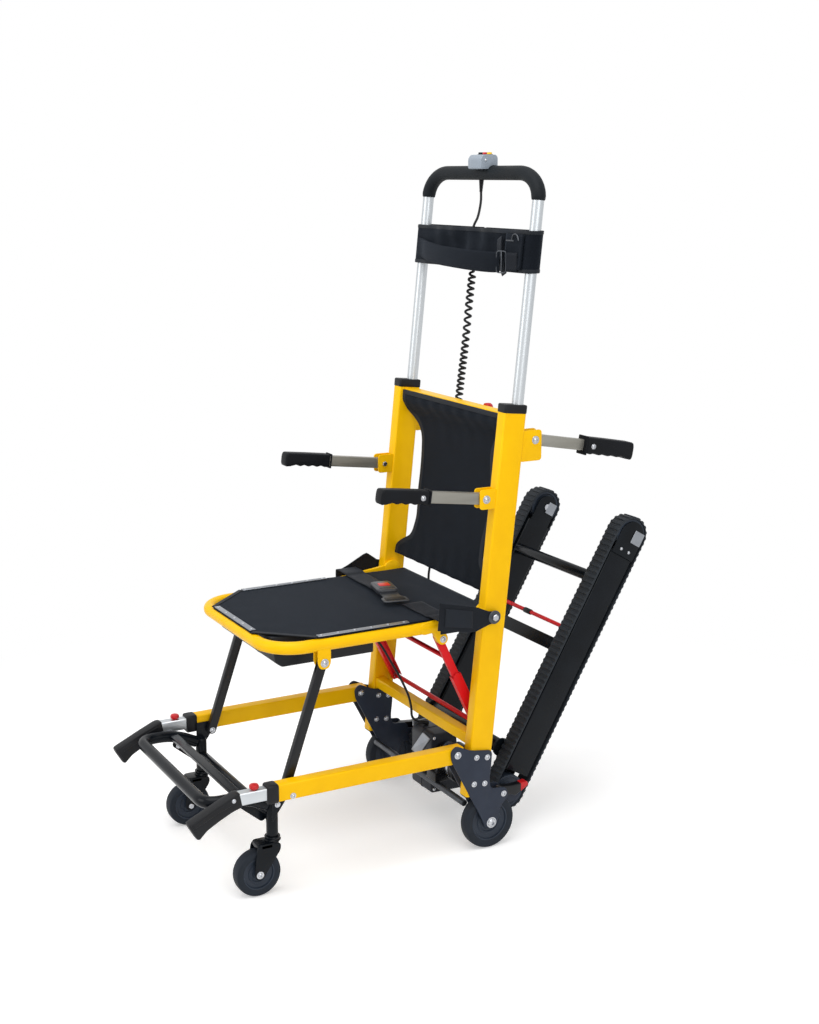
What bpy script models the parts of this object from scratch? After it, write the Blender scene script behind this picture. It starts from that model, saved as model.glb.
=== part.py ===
"""Electric evacuation chair with powered stair tracks.

Metres, +Z up. The chair faces -Y, +X is the seated person's left, and the floor is z = 0.
Points named as (y, z) pairs are measured from the rear axle's line on the floor; one empty then
shifts the whole chair so that its box is centred.
"""
import math

import bmesh
import bpy
from mathutils import Matrix, Vector

# Clearances
CLEAR = 0.0003
PLAY = 0.0005

# Uprights: hollow box sections that lean back and carry everything else
UPRIGHT_X = 0.232
UPRIGHT_WIDTH = 0.030
UPRIGHT_DEPTH = 0.055
UPRIGHT_WALL = 0.002
UPRIGHT_FOOT = (-0.0362, 0.130)
UPRIGHT_TOP_Z = 0.980
UPRIGHT_PLUG = 0.060
LEAN = math.radians(5.85)

# Push handle: two tubes that telescope into the uprights, with a foam bow on top
HANDLE_TUBE_R = 0.0125
HANDLE_BEHIND = 0.012
HANDLE_FOOT_Z = 0.690
HANDLE_TOP_Z = 1.472
HANDLE_CORNER = (0.080, 0.054)
FOAM_R = 0.0155
FOAM_END_Z = 1.416
BAND_LOW_Z = 1.268
BAND_HIGH_Z = 1.354
BAND_THICK = 0.0035
BAND_DEPTH = 0.033
BOX_X = (-0.0085, 0.0465)
BOX_LOW_Z = 1.480
BOX_TOP_Z = 1.511
BOX_FRONT = 0.033
BOX_BACK = 0.010
BUTTON_X = {"dark": 0.001, "red": 0.019, "yellow": 0.037}
BUTTON_R = 0.0055
BUTTON_HEIGHT = 0.009
BUTTON_PROUD = 0.005
BUTTON_TRAVEL = 0.002

# Back sling and its bars
SLING_THICK = 0.003
BACK_TOP_Z = 0.960
BACK_LOW_Z = 0.577
BACK_EDGE = [(0.217, 0.922), (0.185, 0.911), (0.164, 0.886), (0.159, 0.8645), (0.165, 0.741),
             (0.153, 0.674), (0.160, 0.631), (0.1795, 0.614), (0.217, 0.604), (0.217, 0.577)]
BOW_DEPTH = 0.022
BOW_MID_Z = 0.765
BOW_HALF = 0.180
TOP_BAR_HEIGHT = 0.014
TOP_BAR_DEPTH = 0.030
CROSSBAR = (-0.033, 0.2555)
CROSSBAR_SIZE = 0.025
RELEASE_X = 0.100
RELEASE_R = 0.011
RELEASE_LENGTH = 0.016

# Carry handles: a flat bar with a moulded grip, folding down along the upright
CARRY_BAR_WIDTH = 0.018
CARRY_CHEEK = 0.003
CARRY_GRIP_PROUD = 0.0045
FRONT_CARRY_PIVOT = (-0.018, 0.797)
FRONT_CARRY_TILT = math.radians(7.35)
FRONT_CHEEK = {"ahead": 0.016, "up": 0.0215, "down": 0.0215}
FRONT_CARRY_BAR_HEIGHT = 0.028
FRONT_CARRY_GRIP = {"start": 0.141, "length": 0.115, "height": 0.031, "width": 0.030}
REAR_CARRY_PIVOT = (0.103, 0.915)
REAR_CARRY_TILT = math.radians(-10.0)
REAR_CHEEK = {"ahead": 0.016, "up": 0.022, "down": 0.045}
CHEEK_CHAMFER = 0.007
REAR_CARRY_BAR_HEIGHT = 0.028
REAR_CARRY_GRIP = {"start": 0.133, "length": 0.128, "height": 0.038, "width": 0.034}

# Seat frame, which folds up about SEAT_PIVOT
SEAT_PIVOT = (-0.002, 0.539)
SEAT_TUBE_R = 0.0135
SEAT_TUBE_Z = 0.522
SEAT_FRONT_Y = -0.4985
SEAT_TUBE_REAR_Y = -0.120
SEAT_CORNER_R = 0.075
HINGE_THICK = 0.008
HINGE_R = 0.022
BRACE_LUG = (-0.106, 0.494)
LUG_R = 0.0125
LUG_LENGTH = 0.0155
SEAT_SLING_FRONT_Y = -0.503
SEAT_SLING_REAR_Y = 0.030
SEAT_SLING_THICK = 0.004
SEAT_SLING_TOP_Z = SEAT_TUBE_Z + SEAT_TUBE_R + CLEAR + SEAT_SLING_THICK
SEAT_SLING_CUT = (0.105, -0.395)
BATTERY_X = 0.150
BATTERY_LOW_Z = SEAT_TUBE_Z - 0.055
BATTERY_GAP = 0.006
BATTERY_REAR_Y = -0.240

# Seat belt
BELT_THICK = 0.003
BELT_WIDTH = 0.050
BELT_PANEL_Y = (-0.130, -0.050)
BELT_PANEL_Z = (0.506, 0.570)
BUCKLE_CENTRE = (0.008, -0.128)
BUCKLE_YAW = math.radians(-12.0)
BUCKLE_CASE = (0.078, 0.048, 0.015)
TONGUE = (0.070, 0.058, 0.005)

# Front struts, from the seat's ears down to the rails
EAR_THICK = 0.004
EAR_DROP = 0.003
STRUT_TOP = (-0.388, 0.485)
STRUT_FOOT = (-0.480, 0.218)
STRUT_THICK = 0.015
STRUT_DEPTH = 0.020
STRUT_PIN_R = 0.005

# Lower side rails, with a sliding lift handle in each
RAIL_PIVOT = (-0.088, 0.237)
RAIL_Z = 0.233
RAIL_HEIGHT = 0.037
RAIL_WALL = 0.003
RAIL_REAR_Y = -0.070
RAIL_FRONT_Y = -0.510
SLEEVE_LENGTH = 0.025
SLEEVE_WALL = 0.0018
RAIL_PIN_R = 0.006
LIFT_TUBE_HEIGHT = 0.026
LIFT_TUBE_WIDTH = 0.0234
LIFT_TUBE_Z = 0.2345
LIFT_TUBE_LENGTH = 0.250
LIFT_TUBE_FRONT_Y = -0.600
LIFT_GRIP_WIDTH = 0.0236
LIFT_GRIP = [(-0.586, 0.2185), (-0.586, 0.2500), (-0.604, 0.2500), (-0.640, 0.234), (-0.698, 0.2065),
             (-0.704, 0.2025), (-0.7025, 0.196), (-0.6865, 0.168), (-0.681, 0.167), (-0.665, 0.183),
             (-0.636, 0.199), (-0.608, 0.212)]
KNOB_Y = -0.558
KNOB_R = 0.010
KNOB_HEIGHT = 0.012

# Caster carrier, casters and footrest
STEM_Y = -0.507
STEM_X = 0.202
STEM_R = 0.0125
STEM_TOP_Z = 0.203
FORK_TOP_Z = 0.125
CASTER_Y = -0.544
CASTER_R = 0.050
CASTER_WIDTH = 0.030
FORK_CHEEK = 0.004
FORK_CROWN = 0.012
FORK_CUP_R = 0.016
FORK_CUP_HEIGHT = 0.009
CASTER_AXLE_R = 0.006
CARRIER_TUBE_R = 0.011
CARRIER_TUBE_Z = 0.163
GUSSET_THICK = 0.0035
FOOT_TUBE_R = 0.013
FOOT_BAR = (-0.653, 0.222)
FOOT_CROSS = (-0.576, 0.2225)
FOOT_CROSS_R = 0.008
FOOT_ARM_Z = 0.190
FOOT_BEND = 0.078

# Rear wheels, their plates and the brake
WHEEL_R = 0.0625
WHEEL_WIDTH = 0.028
AXLE_R = 0.008
PLATE_THICK = 0.004
PLATE = [(-0.105, 0.248), (-0.092, 0.259), (-0.054, 0.241), (0.000, 0.233), (-0.002, 0.198),
         (-0.006, 0.164), (-0.003, 0.143), (0.038, 0.139), (0.044, 0.118), (0.022, 0.094),
         (0.017, 0.056), (0.000, 0.044), (-0.017, 0.056), (-0.030, 0.086), (-0.048, 0.120),
         (-0.103, 0.225)]
BRAKE_PIVOT = (0.031, 0.125)
BRAKE_SPACER_R = 0.004
BRAKE_PEDAL = [(0.0205, 0.130), (0.031, 0.1365), (0.064, 0.133), (0.100, 0.1365), (0.104, 0.128),
               (0.070, 0.108), (0.056, 0.114), (0.040, 0.1165), (0.0284, 0.1195), (0.0225, 0.1235)]
TIE_BAR = (-0.047, 0.103)
TIE_BAR_R = 0.0075

# Stair tracks, which fold towards the uprights about TRACK_PIVOT
TRACK_PIVOT = (0.079, 0.100)
TRACK_X = 0.177
TRACK_TILT = math.radians(30.0)
TRACK_LENGTH = 0.6465
BELT_OUTER_R = 0.0445
BELT_INNER_R = 0.0385
TRACK_BELT_WIDTH = 0.042
TRACK_RAIL_HALF = 0.034
TRACK_RAIL_WALL = 0.003
TRACK_RAIL_INSET = 0.044
TRACK_PLATE_THICK = 0.005
TRACK_PLATE_R = 0.028
TRACK_SHAFT_R = 0.008
UPPER_TUBE_R = 0.013
UPPER_TUBE = (0.523, -0.0225)
FLAT_BAR = (0.345, -0.014)
FLAT_BAR_SIZE = (0.030, 0.012)
LOWER_TUBE_R = 0.0165
LOWER_TUBE = (0.081, -0.0395)
LOCK_BAR_R = 0.0048
LOCK_BAR_UP = 0.046

# Drive motor and gearbox between the wheel plates
MOTOR_X = 0.138
MOTOR_R = 0.036
MOTOR_AXIS = (-0.003, 0.148)
MOTOR_FOOT_X = (0.012, 0.052)
MOTOR_FOOT_Y = (-0.057, 0.020)
GEARBOX_X = 0.046
GEARBOX = [(-0.0385, 0.062), (0.060, 0.060), (0.108, 0.076), (0.108, 0.122), (0.094, 0.136),
           (0.034, 0.140), (0.030, 0.196), (0.016, 0.206), (-0.030, 0.206), (-0.0385, 0.196)]

# Fold braces: a channel on the frame and a bar that slides in it
BRACE_X = 0.190
BRACE_FOOT = (-0.002, 0.275)
BRACE_BAR_HALF = 0.009
BRACE_BAR_THICK = 0.011
BRACE_CHANNEL_WALL = 0.0018
BRACE_CHANNEL_LENGTH = 0.140
BRACE_BAR_START = 0.030
BRACE_CROSS_AT = 0.183
BRACE_ROD_R = 0.0055

# Cords
LEAD_R = 0.003
COIL_R = 0.0095
LEAD_ROUTE = [(-0.010, 0.1165, 1.4558), (-0.004, 0.112, 1.435), (0.002, 0.108, 1.4095), (0.002, 0.101, 1.378),
              (-0.003, 0.092, 1.353), (-0.006, 0.092, 1.310), (-0.0079, 0.0949, 1.2623)]
COIL_ROUTE = [(-0.008, 0.095, 1.2615), (-0.019, 0.093, 1.189), (-0.026, 0.088, 1.098),
              (-0.034, 0.084, 1.030), (-0.041, 0.080, 0.965), (-0.050, 0.074, 0.880),
              (-0.058, 0.068, 0.780), (-0.066, 0.060, 0.690), (-0.084, 0.052, 0.620), (-0.116, 0.050, 0.566)]
TAIL_ROUTE = [(-0.1163, 0.0499, 0.5654), (-0.124, 0.050, 0.540), (-0.122, 0.047, 0.512),
              (-0.110, 0.028, 0.486), (-0.092, -0.030, 0.474), (-0.078, -0.110, 0.472),
              (-0.064, -0.190, 0.476), (-0.060, -0.2393, 0.482)]
MOTOR_ROUTE = [(-0.020, -0.2393, 0.478), (-0.020, -0.215, 0.476), (-0.020, -0.175, 0.458),
               (-0.020, -0.138, 0.425), (-0.020, -0.110, 0.379), (-0.020, -0.086, 0.337),
               (-0.020, -0.064, 0.291), (-0.020, -0.055, 0.258), (-0.020, -0.052, 0.232),
               (-0.020, -0.036, 0.218), (-0.020, -0.010, 0.2095)]

# Places that follow from the sizes above
INNER_FACE = UPRIGHT_X - UPRIGHT_WIDTH / 2
OUTER_FACE = UPRIGHT_X + UPRIGHT_WIDTH / 2
STRUT_X = INNER_FACE - 2 * PLAY - EAR_THICK - STRUT_THICK / 2
SEAT_TUBE_X = STRUT_X
BELT_X = OUTER_FACE + PLATE_THICK + 0.002
HANDLE_X = UPRIGHT_X - 0.0005
TRACK_INNER_X = TRACK_X - TRACK_BELT_WIDTH / 2 - 0.0065
LOCK_BAR_X = TRACK_INNER_X - LOCK_BAR_R - 2 * PLAY

MATERIALS = {
    "yellow_paint": ("#F2C200", 0.35, 0.0), "black_paint": ("#1E1F22", 0.45, 0.0),
    "red_paint": ("#C4161C", 0.40, 0.0), "bare_aluminium": ("#B9BCC0", 0.30, 1.0),
    "zinc_steel": ("#C8CACC", 0.30, 1.0), "black_rubber": ("#1B1B1C", 0.80, 0.0),
    "black_nylon": ("#222327", 0.50, 0.0), "sling_fabric": ("#24262B", 0.90, 0.0),
    "webbing": ("#2E3138", 0.85, 0.0), "foam": ("#232326", 0.95, 0.0),
    "grey_plastic": ("#6E7075", 0.45, 0.0), "red_plastic": ("#D0342C", 0.40, 0.0),
    "yellow_plastic": ("#E8C21A", 0.40, 0.0),
}


def clear_scene():
    """Start from an empty scene."""
    for item in list(bpy.data.objects):
        bpy.data.objects.remove(item, do_unlink=True)


def collection(name):
    """A new collection linked to the scene."""
    group = bpy.data.collections.new(name)
    bpy.context.scene.collection.children.link(group)
    return group


def linear(channel):
    """One sRGB channel, 0 to 1, as linear light."""
    if channel <= 0.04045:
        return channel / 12.92
    return ((channel + 0.055) / 1.055) ** 2.4


def material(node_name, finish):
    """A piece's own Principled material."""
    colour, roughness, metallic = MATERIALS[finish]
    made = bpy.data.materials.new(node_name + "_" + finish)
    made.use_nodes = True
    shader = made.node_tree.nodes["Principled BSDF"]
    rgb = [linear(int(colour[i:i + 2], 16) / 255) for i in (1, 3, 5)]
    shader.inputs["Base Color"].default_value = (*rgb, 1.0)
    shader.inputs["Roughness"].default_value = roughness
    shader.inputs["Metallic"].default_value = metallic
    made.diffuse_color = (*rgb, 1.0)
    return made


# Basic shapes, each a raw object in the work collection

def raw(bm):
    """Wrap a bmesh in a work object."""
    mesh = bpy.data.meshes.new("shape")
    bm.to_mesh(mesh)
    bm.free()
    made = bpy.data.objects.new("shape", mesh)
    WORK.objects.link(made)
    return made


def box(x, y, z):
    """A box between pairs of x, y and z."""
    bm = bmesh.new()
    bmesh.ops.create_cube(bm, size=1.0)
    size = Vector((x[1] - x[0], y[1] - y[0], z[1] - z[0]))
    centre = Vector((x[0] + x[1], y[0] + y[1], z[0] + z[1])) / 2
    bmesh.ops.scale(bm, vec=size, verts=bm.verts)
    bmesh.ops.translate(bm, vec=centre, verts=bm.verts)
    return raw(bm)


def rod(x, centre, radius, sides=16):
    """A cylinder along X between a pair of x, about a (y, z) centre."""
    bm = bmesh.new()
    bmesh.ops.create_cone(bm, cap_ends=True, segments=sides, radius1=radius, radius2=radius,
                          depth=x[1] - x[0])
    turn = Matrix.Rotation(math.radians(90), 4, "Y")
    place = Matrix.Translation(((x[0] + x[1]) / 2, *centre))
    bmesh.ops.transform(bm, matrix=place @ turn, verts=bm.verts)
    return raw(bm)


def post(centre, radius, z, sides=16):
    """A vertical cylinder about an (x, y) centre between a pair of z."""
    bm = bmesh.new()
    bmesh.ops.create_cone(bm, cap_ends=True, segments=sides, radius1=radius, radius2=radius,
                          depth=z[1] - z[0])
    bmesh.ops.translate(bm, vec=(*centre, (z[0] + z[1]) / 2), verts=bm.verts)
    return raw(bm)


def as_mesh(curve_object):
    """Turn a curve object into a welded mesh object."""
    bpy.context.view_layer.update()
    graph = bpy.context.evaluated_depsgraph_get()
    mesh = bpy.data.meshes.new_from_object(curve_object.evaluated_get(graph))
    bm = bmesh.new()
    bm.from_mesh(mesh)
    bmesh.ops.remove_doubles(bm, verts=bm.verts, dist=0.00001)
    bmesh.ops.transform(bm, matrix=curve_object.matrix_world, verts=bm.verts)
    bmesh.ops.recalc_face_normals(bm, faces=bm.faces)
    bpy.data.objects.remove(curve_object, do_unlink=True)
    bpy.data.meshes.remove(mesh)
    return raw(bm)


def spline_object(points, cyclic, dimensions):
    """A curve object with one POLY spline."""
    curve = bpy.data.curves.new("outline", "CURVE")
    curve.dimensions = dimensions
    spline = curve.splines.new("POLY")
    spline.points.add(len(points) - 1)
    for spot, point in zip(spline.points, points):
        spot.co = (*point, 1.0)
    spline.use_cyclic_u = cyclic
    made = bpy.data.objects.new("outline", curve)
    WORK.objects.link(made)
    return made


def plate(outline, x):
    """A flat (y, z) outline extruded along X between a pair of x."""
    made = spline_object([(y, z, 0.0) for y, z in outline], True, "2D")
    made.data.fill_mode = "BOTH"
    made.data.extrude = (x[1] - x[0]) / 2
    axes = Matrix(((0, 0, 1, (x[0] + x[1]) / 2), (1, 0, 0, 0), (0, 1, 0, 0), (0, 0, 0, 1)))
    made.matrix_world = axes
    return as_mesh(made)


def sheet(outline, y, lean_from=None):
    """A flat (x, z) outline extruded along Y between a pair of y."""
    made = spline_object([(x, z, 0.0) for x, z in outline], True, "2D")
    made.data.fill_mode = "BOTH"
    made.data.extrude = (y[1] - y[0]) / 2
    axes = Matrix(((1, 0, 0, 0), (0, 0, -1, (y[0] + y[1]) / 2), (0, 1, 0, 0), (0, 0, 0, 1)))
    made.matrix_world = axes if lean_from is None else lean_from @ axes
    return as_mesh(made)


def slab(outline, z, thickness):
    """A flat (x, y) outline of even thickness about a height."""
    made = spline_object([(x, y, 0.0) for x, y in outline], True, "2D")
    made.data.fill_mode = "BOTH"
    made.data.extrude = thickness / 2
    made.matrix_world = Matrix.Translation((0.0, 0.0, z))
    return as_mesh(made)


def tube(points, radius, detail=4):
    """A round tube along a run of points."""
    made = spline_object(points, False, "3D")
    made.data.bevel_depth = radius
    made.data.bevel_resolution = detail
    made.data.use_fill_caps = True
    return as_mesh(made)


def turned(profile, x, centre, steps=24):
    """A closed (radius, along) profile turned about the X axis through a (y, z) centre."""
    bm = bmesh.new()
    spots = [bm.verts.new((0.0, radius, along)) for radius, along in profile]
    for first, second in zip(spots, spots[1:] + spots[:1]):
        bm.edges.new((first, second))
    made = raw(bm)
    screw = made.modifiers.new("turn", "SCREW")
    screw.axis = "Z"
    screw.steps = steps
    screw.render_steps = steps
    screw.use_merge_vertices = True
    screw.merge_threshold = 0.00001
    bake(made)
    turn = Matrix(((0, 0, 1, x), (1, 0, 0, centre[0]), (0, 1, 0, centre[1]), (0, 0, 0, 1)))
    made.data.transform(turn)
    tidy_faces(made.data)
    return made


def rounded(points, radius, steps=5):
    """A run of points with each inner corner replaced by an arc of the radius."""
    run = [Vector(point) for point in points]
    path = [run[0]]
    for before, corner, after in zip(run, run[1:], run[2:]):
        back = (before - corner).normalized()
        ahead = (after - corner).normalized()
        half = back.angle(ahead) / 2
        reach = min(radius / math.tan(half), 0.49 * min((before - corner).length, (after - corner).length))
        bow = reach * math.tan(half)
        centre = corner + (back + ahead).normalized() * (bow / math.sin(half))
        start = corner + back * reach - centre
        sweep = math.pi - 2 * half
        turn_axis = start.cross(corner + ahead * reach - centre).normalized()
        for step in range(steps + 1):
            path.append(centre + Matrix.Rotation(sweep * step / steps, 3, turn_axis) @ start)
    path.append(run[-1])
    return [tuple(point) for point in path]


def smooth_route(points, count):
    """Evenly numbered points on a smooth curve through a cord's route."""
    run = [Vector(point) for point in points]
    run = [2 * run[0] - run[1]] + run + [2 * run[-1] - run[-2]]
    spans = len(run) - 3
    path = []
    for step in range(count):
        at = min(step / (count - 1) * spans, spans - 1e-9)
        i, t = int(at), at - int(at)
        p0, p1, p2, p3 = run[i:i + 4]
        path.append(0.5 * (2 * p1 + (p2 - p0) * t + (2 * p0 - 5 * p1 + 4 * p2 - p3) * t ** 2
                           + (3 * p1 - p0 - 3 * p2 + p3) * t ** 3))
    return [tuple(point) for point in path]


def link_outline(start, end, radius, steps=6):
    """A (y, z) outline with round ends about two points."""
    heading = math.atan2(end[1] - start[1], end[0] - start[0])
    outline = []
    for centre, turn in ((end, -math.pi / 2), (start, math.pi / 2)):
        for step in range(steps + 1):
            angle = heading + turn + math.pi * step / steps
            outline.append((centre[0] + radius * math.cos(angle), centre[1] + radius * math.sin(angle)))
    return outline


def strip_outline(points, thickness):
    """The outline of a strip of even thickness whose lower side runs through (x, z) points."""
    upper = []
    for i, point in enumerate(points):
        before = Vector(points[max(i - 1, 0)])
        after = Vector(points[min(i + 1, len(points) - 1)])
        run = (after - before).normalized()
        upper.append((point[0] - run.y * thickness, point[1] + run.x * thickness))
    return list(points) + upper[::-1]


# Joining and finishing

def tidy_faces(mesh):
    """Weld and point every face outwards."""
    bm = bmesh.new()
    bm.from_mesh(mesh)
    bmesh.ops.remove_doubles(bm, verts=bm.verts, dist=0.000005)
    bmesh.ops.recalc_face_normals(bm, faces=bm.faces)
    bm.to_mesh(mesh)
    bm.free()


def bake(made):
    """Replace an object's mesh by its evaluated shape."""
    bpy.context.view_layer.update()
    graph = bpy.context.evaluated_depsgraph_get()
    mesh = bpy.data.meshes.new_from_object(made.evaluated_get(graph))
    made.modifiers.clear()
    made.data = mesh


def combine(shapes, cuts=()):
    """Join shapes into one solid and take the cuts out of it."""
    base = shapes[0]
    tools = [(shape, "UNION") for shape in shapes[1:]] + [(cut, "DIFFERENCE") for cut in cuts]
    for tool, operation in tools:
        step = base.modifiers.new("join", "BOOLEAN")
        step.operation = operation
        step.solver = "EXACT"
        step.object = tool
        bake(base)
        bpy.data.objects.remove(tool, do_unlink=True)
    tidy_faces(base.data)
    return base


def finish(name, made, body, look, round_angle=35.0):
    """Name a solid, give it its material and hang it on a body's empty."""
    mesh = made.data
    mesh.name = name
    mesh.transform(Matrix.Translation(-body["pivot"]))
    mesh.materials.clear()
    mesh.materials.append(material(name, look))
    mesh.shade_smooth()
    mesh.set_sharp_from_angle(angle=math.radians(round_angle))
    made.name = name
    WORK.objects.unlink(made)
    CHAIR.objects.link(made)
    made.parent = body["empty"]
    return made


def mirrored(made, name, body, from_body, look):
    """The same piece on the other side of the middle plane."""
    bm = bmesh.new()
    bm.from_mesh(made.data)
    flip = Matrix.Scale(-1.0, 4, (1, 0, 0)) @ Matrix.Translation(from_body["pivot"])
    bmesh.ops.transform(bm, matrix=flip, verts=bm.verts)
    bmesh.ops.reverse_faces(bm, faces=bm.faces)
    return finish(name, raw(bm), body, look)


def body_at(name, pivot, parent=None):
    """An empty on a joint's axis that the pieces of one moving body hang on."""
    empty = bpy.data.objects.new(name + "_pivot", None)
    empty.empty_display_size = 0.03
    CHAIR.objects.link(empty)
    pivot = Vector(pivot)
    if parent is None:
        empty.location = pivot
    else:
        empty.parent = parent["empty"]
        empty.location = pivot - parent["pivot"]
    return {"empty": empty, "pivot": pivot}


def both_sides(name, made, bodies, look):
    """Finish the left piece and make the right one from it."""
    left, right = bodies
    finish(name + "_left", made, left, look)
    mirrored(made, name + "_right", right, left, look)


# Points on the leaning uprights and tracks

def upright_point(along, behind=0.0):
    """(y, z) at a distance up the uprights' centre line and behind it."""
    y = UPRIGHT_FOOT[0] + along * math.sin(LEAN) + behind * math.cos(LEAN)
    z = UPRIGHT_FOOT[1] + along * math.cos(LEAN) - behind * math.sin(LEAN)
    return y, z


def upright_at(z, behind=0.0):
    """(y, z) on a line behind the uprights' centre line, at a height."""
    along = (z - UPRIGHT_FOOT[1] + behind * math.sin(LEAN)) / math.cos(LEAN)
    return upright_point(along, behind)


def track_point(along, offset=0.0):
    """(y, z) at a distance up the track's centre line and off it, rearwards positive."""
    y = TRACK_PIVOT[0] + along * math.sin(TRACK_TILT) + offset * math.cos(TRACK_TILT)
    z = TRACK_PIVOT[1] + along * math.cos(TRACK_TILT) - offset * math.sin(TRACK_TILT)
    return y, z


def aimed_point(start, tilt, along, up=0.0):
    """(y, z) at a distance from a point along a tilted line in the (y, z) plane."""
    y = start[0] + along * math.cos(tilt) - up * math.sin(tilt)
    z = start[1] + along * math.sin(tilt) + up * math.cos(tilt)
    return y, z


def around(start, tilt, corners):
    """Corners given along and above a tilted line, as (y, z) points."""
    return [aimed_point(start, tilt, along, up) for along, up in corners]


# Frame

def uprights(frame):
    """Box-section rails with a bored plug at the top and the carry handles' cheeks."""
    length = (UPRIGHT_TOP_Z - UPRIGHT_FOOT[1]) / math.cos(LEAN)
    half = UPRIGHT_DEPTH / 2
    outer = [upright_point(s, n) for s, n in ((0, -half), (0, half), (length, half), (length, -half))]
    body = plate(outer, (INNER_FACE, OUTER_FACE))
    hollow = half - UPRIGHT_WALL
    top = length - UPRIGHT_PLUG
    inside = [upright_point(s, n) for s, n in
              ((-0.01, -hollow), (-0.01, hollow), (top, hollow), (top, -hollow))]
    cavity = plate(inside, (INNER_FACE + UPRIGHT_WALL, OUTER_FACE - UPRIGHT_WALL))
    bore_low = upright_point(top - 0.02, HANDLE_BEHIND)
    bore_top = upright_point(length + 0.02, HANDLE_BEHIND)
    bore = tube([(HANDLE_X, *bore_low), (HANDLE_X, *bore_top)], HANDLE_TUBE_R + CLEAR * 2, 14)
    cheeks = []
    for pivot, reach, size in ((FRONT_CARRY_PIVOT, -1, FRONT_CHEEK), (REAR_CARRY_PIVOT, 1, REAR_CHEEK)):
        low, high = pivot[1] - size["down"], pivot[1] + size["up"]
        tip = pivot[0] + reach * size["ahead"]
        eased = tip - reach * CHEEK_CHAMFER
        rooted = half - 2 * UPRIGHT_WALL
        corners = [(upright_at(low, reach * rooted)[0], low), (eased, low), (tip, low + CHEEK_CHAMFER),
                   (tip, high - CHEEK_CHAMFER), (eased, high), (upright_at(high, reach * rooted)[0], high)]
        for side in (-1, 1):
            inner = UPRIGHT_X + side * (CARRY_BAR_WIDTH / 2 + PLAY)
            outer_x = inner + side * CARRY_CHEEK
            cheeks.append(plate(corners, tuple(sorted((inner, outer_x)))))
    made = combine([body] + cheeks, [cavity, bore])
    both_sides("upright", made, (frame, frame), "yellow_paint")


def back_rest(frame):
    """Top bar, sling and lower crossbar between the uprights."""
    reach = INNER_FACE - CLEAR
    y, z = upright_at(BACK_TOP_Z + CLEAR + TOP_BAR_HEIGHT / 2)
    depth = TOP_BAR_DEPTH / 2
    height = TOP_BAR_HEIGHT / 2
    bar = box((-reach, reach), (y - depth, y + depth), (z - height, z + height))
    finish("back_top_bar", bar, frame, "yellow_paint")

    steps = 16
    heights = [BACK_LOW_Z + (BACK_TOP_Z - BACK_LOW_Z) * i / steps for i in range(steps + 1)]
    profile = []
    for z in heights:
        hang = BOW_DEPTH * max(0.0, 1.0 - ((z - BOW_MID_Z) / BOW_HALF) ** 2)
        profile.append((upright_at(z)[0] + hang, z))
    half = SLING_THICK / 2
    strip = [(y - half, z) for y, z in profile] + [(y + half, z) for y, z in reversed(profile)]
    sling = plate(strip, (-reach, reach))
    beyond = 2 * UPRIGHT_X
    outline = [(min(x, reach + CLEAR), z) for x, z in BACK_EDGE]
    outline += [(reach + CLEAR, 0.9 * BACK_LOW_Z), (beyond, 0.9 * BACK_LOW_Z), (beyond, BACK_EDGE[0][1])]
    sides = []
    for side in (-1, 1):
        sides.append(sheet([(side * x, z) for x, z in outline], (-beyond, beyond)))
    finish("back_sling", combine([sling], sides), frame, "sling_fabric")

    half = CROSSBAR_SIZE / 2
    y, z = CROSSBAR
    bar = box((-reach, reach), (y - half, y + half), (z - half, z + half))
    finish("lower_crossbar", bar, frame, "yellow_paint")


def wheel_plates(frame):
    """Two cheek plates a side, joined by the rail's pin, the brake's spacer and the wheel's axle."""
    outer = (OUTER_FACE + PLAY, OUTER_FACE + PLAY + PLATE_THICK)
    inner = (INNER_FACE - PLAY - PLATE_THICK, INNER_FACE - PLAY)
    span = (inner[0] + 0.001, outer[1] - 0.001)
    cheek = plate(PLATE, outer)
    back = plate(PLATE, inner)
    arm = plate(link_outline((0.020, 0.110), TRACK_PIVOT, 0.017), (inner[0] + 0.0002, inner[1] - 0.0002))
    pin = rod(span, RAIL_PIVOT, RAIL_PIN_R)
    spacer = rod(span, BRAKE_PIVOT, BRAKE_SPACER_R)
    axle = rod(span, (0.0, WHEEL_R), AXLE_R)
    hole = rod((inner[0] - 0.01, inner[1] + 0.01), TRACK_PIVOT, TRACK_SHAFT_R + PLAY, 24)
    made = combine([cheek, pin, spacer, axle, back, arm], [hole])
    both_sides("wheel_plate", made, (frame, frame), "black_paint")


def tie_bar(frame):
    """Round bar between the inner plates that also carries the motor."""
    reach = INNER_FACE - PLAY - PLATE_THICK - CLEAR
    finish("motor_tie_bar", rod((-reach, reach), TIE_BAR, TIE_BAR_R), frame, "bare_aluminium")


def drive(frame):
    """Gearbox round the track shaft and the motor across it."""
    case = plate(GEARBOX, (-GEARBOX_X, GEARBOX_X))
    seat_r = TIE_BAR_R + PLAY
    groove = rod((-GEARBOX_X - 0.01, GEARBOX_X + 0.01), TIE_BAR, seat_r)
    shaft_hole = rod((-GEARBOX_X - 0.01, GEARBOX_X + 0.01), TRACK_PIVOT, TRACK_SHAFT_R + PLAY, 24)
    finish("gearbox", combine([case], [groove, shaft_hole]), frame, "black_paint")
    can = rod((GEARBOX_X + CLEAR, MOTOR_X), MOTOR_AXIS, MOTOR_R, 20)
    cap = rod((MOTOR_X - 0.001, MOTOR_X + 0.008), MOTOR_AXIS, MOTOR_R * 0.7)
    foot_x = (GEARBOX_X + MOTOR_FOOT_X[0], GEARBOX_X + MOTOR_FOOT_X[1])
    foot = box(foot_x, MOTOR_FOOT_Y, (TIE_BAR[1] + TIE_BAR_R + PLAY, MOTOR_AXIS[1] - 0.015))
    finish("drive_motor", combine([can, cap, foot]), frame, "black_paint")


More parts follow.
